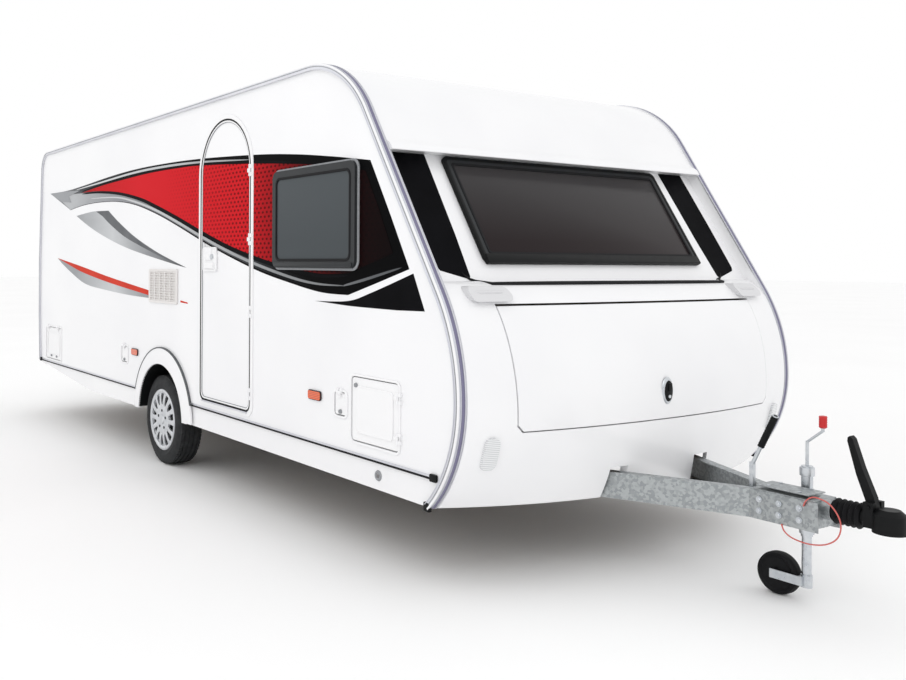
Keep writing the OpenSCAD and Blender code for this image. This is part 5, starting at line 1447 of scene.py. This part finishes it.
# ======================================================================
# vent, lamps and rear
# ======================================================================
def make_vent():
    """Louvres, rim and the back plate behind the fridge vent."""
    face = -WALL_Y
    x0, z0, w, h = -0.16, 1.19, 0.5, 0.24
    ring("vent_rim", round_rect(x0 - 0.004, z0 - 0.004, w + 0.008, h + 0.008, 0.016),
         round_rect(x0 + 0.012, z0 + 0.012, w - 0.024, h - 0.024, 0.008), face - 0.012, face - 0.001, "vent",
         "trailer", slot="vent_plastic", bevel=0.002)
    parts = []
    for i in range(12):
        z = z0 + 0.018 + i * 0.0184
        lean = Matrix.Rotation(math.radians(-28), 3, "X")
        for j in range(5):
            x = x0 + 0.02 + j * 0.0925
            parts.append(box_mesh(at(x, face - 0.0125, z - 0.0022), at(x + 0.09, face - 0.0005, z + 0.0022), lean))
    for j in range(6):
        x = x0 + 0.0165 + j * 0.0925
        parts.append(box_mesh(at(x - 0.005, face - 0.0115, z0 + 0.012), at(x + 0.005, face, z0 + h - 0.012)))
    keep("vent_louvres", *joined(parts), "vent", "trailer", slot="vent_plastic")
    prism("vent_back", round_rect(x0 + 0.02, z0 + 0.02, w - 0.04, h - 0.04, 0.005), face - 0.001, face + 0.003,
          "vent", "trailer", slot="vent_plastic")


def make_rear():
    """Lens divisions, handles, number plate and lamps of the rear."""
    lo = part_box("rear_lamps")[0]
    bumper_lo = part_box("rear_bumper")[0]
    for side, tag in SIDE_NAME.items():
        y = side * (WALL_Y - 0.19)
        parts = []
        for z in (lo.z + 0.1, lo.z + 0.2):
            parts.append(box_mesh((lo.x - 0.002, y - 0.052, z - 0.004), (lo.x + 0.01, y + 0.052, z + 0.004)))
        keep("rear_lamp_bars_" + tag, *joined(parts), "frame", "trailer", bevel=0.001)
        indicator = box_mesh((lo.x - 0.0015, y - 0.045, lo.z + 0.106), (lo.x + 0.008, y + 0.045, lo.z + 0.194))
        keep("rear_indicator_" + tag, *indicator, "amber_lens", "trailer", slot="lamp_amber", bevel=0.004)
        reverse = box_mesh((lo.x - 0.0015, y - 0.045, lo.z + 0.206), (lo.x + 0.008, y + 0.045, lo.z + 0.26))
        keep("reversing_lens_" + tag, *reverse, "clear_lens", "trailer", slot="lamp_clear", bevel=0.004)
        ring_y = side * 0.85
        path = [(REAR_X - 0.001, ring_y, 1.02), (REAR_X - 0.04, ring_y, 1.03), (REAR_X - 0.045, ring_y, 1.06),
                (REAR_X - 0.045, ring_y, 1.2), (REAR_X - 0.04, ring_y, 1.23), (REAR_X - 0.001, ring_y, 1.24)]
        keep("rear_handle_" + tag, *sweep([at(*p) for p in curve_through(path, 5)], 0.011, 14), "handle", "trailer",
             slot="handle_plastic", angle=60)
    plate = box_mesh((bumper_lo.x + 0.0035, -0.26, 0.6), (bumper_lo.x + 0.0115, 0.26, 0.712))
    keep("blank_number_plate", *plate, "hatch", "trailer", bevel=0.003)
    w, h, foot = 1.25, 0.52, 1.42
    x = REAR_X - 0.0223
    outer, inner = (round_rect(-w / 2 + m, foot + m, w - 2 * m, h - 2 * m, r)
                    for m, r in ((0.036, 0.04), (0.05, 0.03)))
    n = len(outer)
    verts = [at(xx, y, z) for xx in (x - 0.004, x + 0.004) for line in (outer, inner) for y, z in line]
    keep("rear_pane_seal", verts, band_faces(n, n), "seal", "trailer", slot="frame_plastic", bevel=0.002)


def make_lamps():
    """Rims round the side markers."""
    for side, tag in SIDE_NAME.items():
        y = span(side, WALL_Y + 0.002, WALL_Y + 0.0095)
        for k, (x, z, w) in enumerate(((-0.51, 0.765, 0.12), (2.085, 0.745, 0.12))):
            ring(f"marker_rim_{k}_{tag}", round_rect(x - 0.004, z - 0.004, w + 0.008, 0.053, 0.016),
                 round_rect(x + 0.001, z + 0.001, w - 0.002, 0.043, 0.011), y[0], y[1], "frame", "trailer",
                 bevel=0.001)


def make_front_handles():
    """Recessed-looking grip bar over each front corner pad."""
    for side, tag in SIDE_NAME.items():
        pts = []
        for k in range(9):
            y = side * (0.975 + 0.08 * (k / 4 - 1))
            lift = 0.031 if k in (0, 8) else 0.04
            pts.append(at(nose_x(y, 1.35) + lift, y, 1.352))
        keep("grip_bar_" + tag, *sweep(pts, 0.008, 12), "handle", "trailer", slot="handle_plastic", angle=60)


# ======================================================================
# operators, one for each piece or group
# ======================================================================
class CARAVAN_OT_stage(bpy.types.Operator):
    """Pale floor, soft light and the camera"""

    bl_idname = "caravan.stage"
    bl_label = "Stage"

    def execute(self, context):
        look = context.scene.caravan_stage
        far, low = 90, -0.002
        corners = [(-far, -far, low), (far, -far, low), (far, far, low), (-far, far, low)]
        floor = keep("studio_floor", corners, [(0, 1, 2, 3)], "floor", None)
        world = bpy.data.worlds.new("soft_studio")
        world.use_nodes = True
        context.scene.world = world
        back = world.node_tree.nodes["Background"]
        back.inputs["Color"].default_value = linear(look.sky)
        back.inputs["Strength"].default_value = look.sky_strength
        for name, place, aim, size, power in (
                ("key_lamp", (9, -9, 9), (0, 0, 1.2), 7.0, look.key_power),
                ("fill_lamp", (-9, -10, 6), (0, 0, 1.2), 8.0, look.key_power * 0.2)):
            lamp = bpy.data.lights.new(name, "AREA")
            lamp.energy = power
            lamp.size = size
            holder = bpy.data.objects.new(name, lamp)
            holder.location = place
            holder.rotation_euler = (Vector(aim) - Vector(place)).to_track_quat("-Z", "Y").to_euler()
            context.scene.collection.objects.link(holder)
        eye = bpy.data.cameras.new("camera")
        eye.lens = look.lens
        eye.sensor_width = 36
        eye.shift_x, eye.shift_y = look.shift
        holder = bpy.data.objects.new("camera", eye)
        x, y, z = look.camera_place
        holder.location = at(x, y, z)
        ahead = Vector((math.cos(look.camera_yaw), math.sin(look.camera_yaw), 0))
        holder.rotation_mode = "QUATERNION"
        holder.rotation_quaternion = ahead.to_track_quat("-Z", "Y") @ Matrix.Rotation(
            look.camera_roll, 3, "Z").to_quaternion()
        context.scene.collection.objects.link(holder)
        context.scene.camera = holder
        context.scene.view_settings.view_transform = "Standard"
        return {"FINISHED"}


class CARAVAN_OT_cable(bpy.types.Operator):
    """Breakaway cable"""

    bl_idname = "caravan.cable"
    bl_label = "Breakaway cable"

    def execute(self, context):
        make_cable()
        return {"FINISHED"}


class CARAVAN_OT_finishes(bpy.types.Operator):
    """Real finishes on the frame's own parts"""

    bl_idname = "caravan.finishes"
    bl_label = "Finishes"

    def execute(self, context):
        for finish, names in CAD_FINISH.items():
            for name in names:
                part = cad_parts[name]
                for slot in part.material_slots:
                    slot.material = finish_of(finish)
        return {"FINISHED"}


class CARAVAN_OT_shell(bpy.types.Operator):
    """Smooth nose, lid, front cap and roof"""

    bl_idname = "caravan.shell"
    bl_label = "Shell mouldings"

    def execute(self, context):
        make_nose()
        make_front_cap()
        make_roof()
        make_nose_details()
        return {"FINISHED"}


class CARAVAN_OT_graphics(bpy.types.Operator):
    """Printed films on both sides"""

    bl_idname = "caravan.graphics"
    bl_label = "Side graphics"

    def execute(self, context):
        side_graphic(-1)
        side_graphic(1)
        return {"FINISHED"}


class CARAVAN_OT_openings(bpy.types.Operator):
    """Door, hatch, window and vent details"""

    bl_idname = "caravan.openings"
    bl_label = "Door, hatches and windows"

    def execute(self, context):
        make_door_trim()
        make_hatches()
        make_windows()
        make_front_window()
        make_vent()
        return {"FINISHED"}


class CARAVAN_OT_trim(bpy.types.Operator):
    """Rails, hems, arches, lamps and handles"""

    bl_idname = "caravan.trim"
    bl_label = "Rails and trim"

    def execute(self, context):
        make_rails()
        make_skirt_details()
        make_arches()
        make_lamps()
        make_front_handles()
        make_rear()
        return {"FINISHED"}


class CARAVAN_OT_wheels(bpy.types.Operator):
    """Tyres and wheel trims"""

    bl_idname = "caravan.wheels"
    bl_label = "Wheels"

    def execute(self, context):
        make_wheel(-1)
        make_wheel(1)
        return {"FINISHED"}


class CARAVAN_OT_hitch(bpy.types.Operator):
    """Coupling, levers and jockey wheel details"""

    bl_idname = "caravan.hitch"
    bl_label = "Hitch"

    def execute(self, context):
        make_hitch()
        return {"FINISHED"}


OPERATORS = (CARAVAN_OT_stage, CARAVAN_OT_cable, CARAVAN_OT_finishes, CARAVAN_OT_shell, CARAVAN_OT_graphics,
             CARAVAN_OT_openings, CARAVAN_OT_trim, CARAVAN_OT_wheels, CARAVAN_OT_hitch)


class CARAVAN_PT_panel(bpy.types.Panel):
    """Sizes, colours and builders of the caravan"""

    bl_label = "Travel caravan"
    bl_idname = "CARAVAN_PT_panel"
    bl_space_type = "VIEW_3D"
    bl_region_type = "UI"
    bl_category = "Caravan"

    def draw(self, context):
        for group in (context.scene.caravan_paint, context.scene.caravan_sizes, context.scene.caravan_stage):
            column = self.layout.box().column()
            for key in group.bl_rna.properties.keys():
                if key not in ("name", "rna_type"):
                    column.prop(group, key)
        for operator in OPERATORS:
            self.layout.operator(operator.bl_idname)


GROUPS = (("caravan_paint", CaravanPaint), ("caravan_sizes", CaravanSizes), ("caravan_stage", StageLook))


def register():
    for name, group in GROUPS:
        bpy.utils.register_class(group)
        setattr(bpy.types.Scene, name, PointerProperty(type=group))
    for item in (*OPERATORS, CARAVAN_PT_panel):
        bpy.utils.register_class(item)


def unregister():
    for item in reversed((*OPERATORS, CARAVAN_PT_panel)):
        bpy.utils.unregister_class(item)
    for name, group in GROUPS:
        delattr(bpy.types.Scene, name)
        bpy.utils.unregister_class(group)


def main():
    register()
    make_materials()
    MATERIALS["floor"] = floor_paint()
    MATERIALS["skirt"] = MATERIALS["moulding"]
    for operator in OPERATORS:
        group, name = operator.bl_idname.split(".")
        getattr(getattr(bpy.ops, group), name)()


if __name__ == "__main__":
    main()
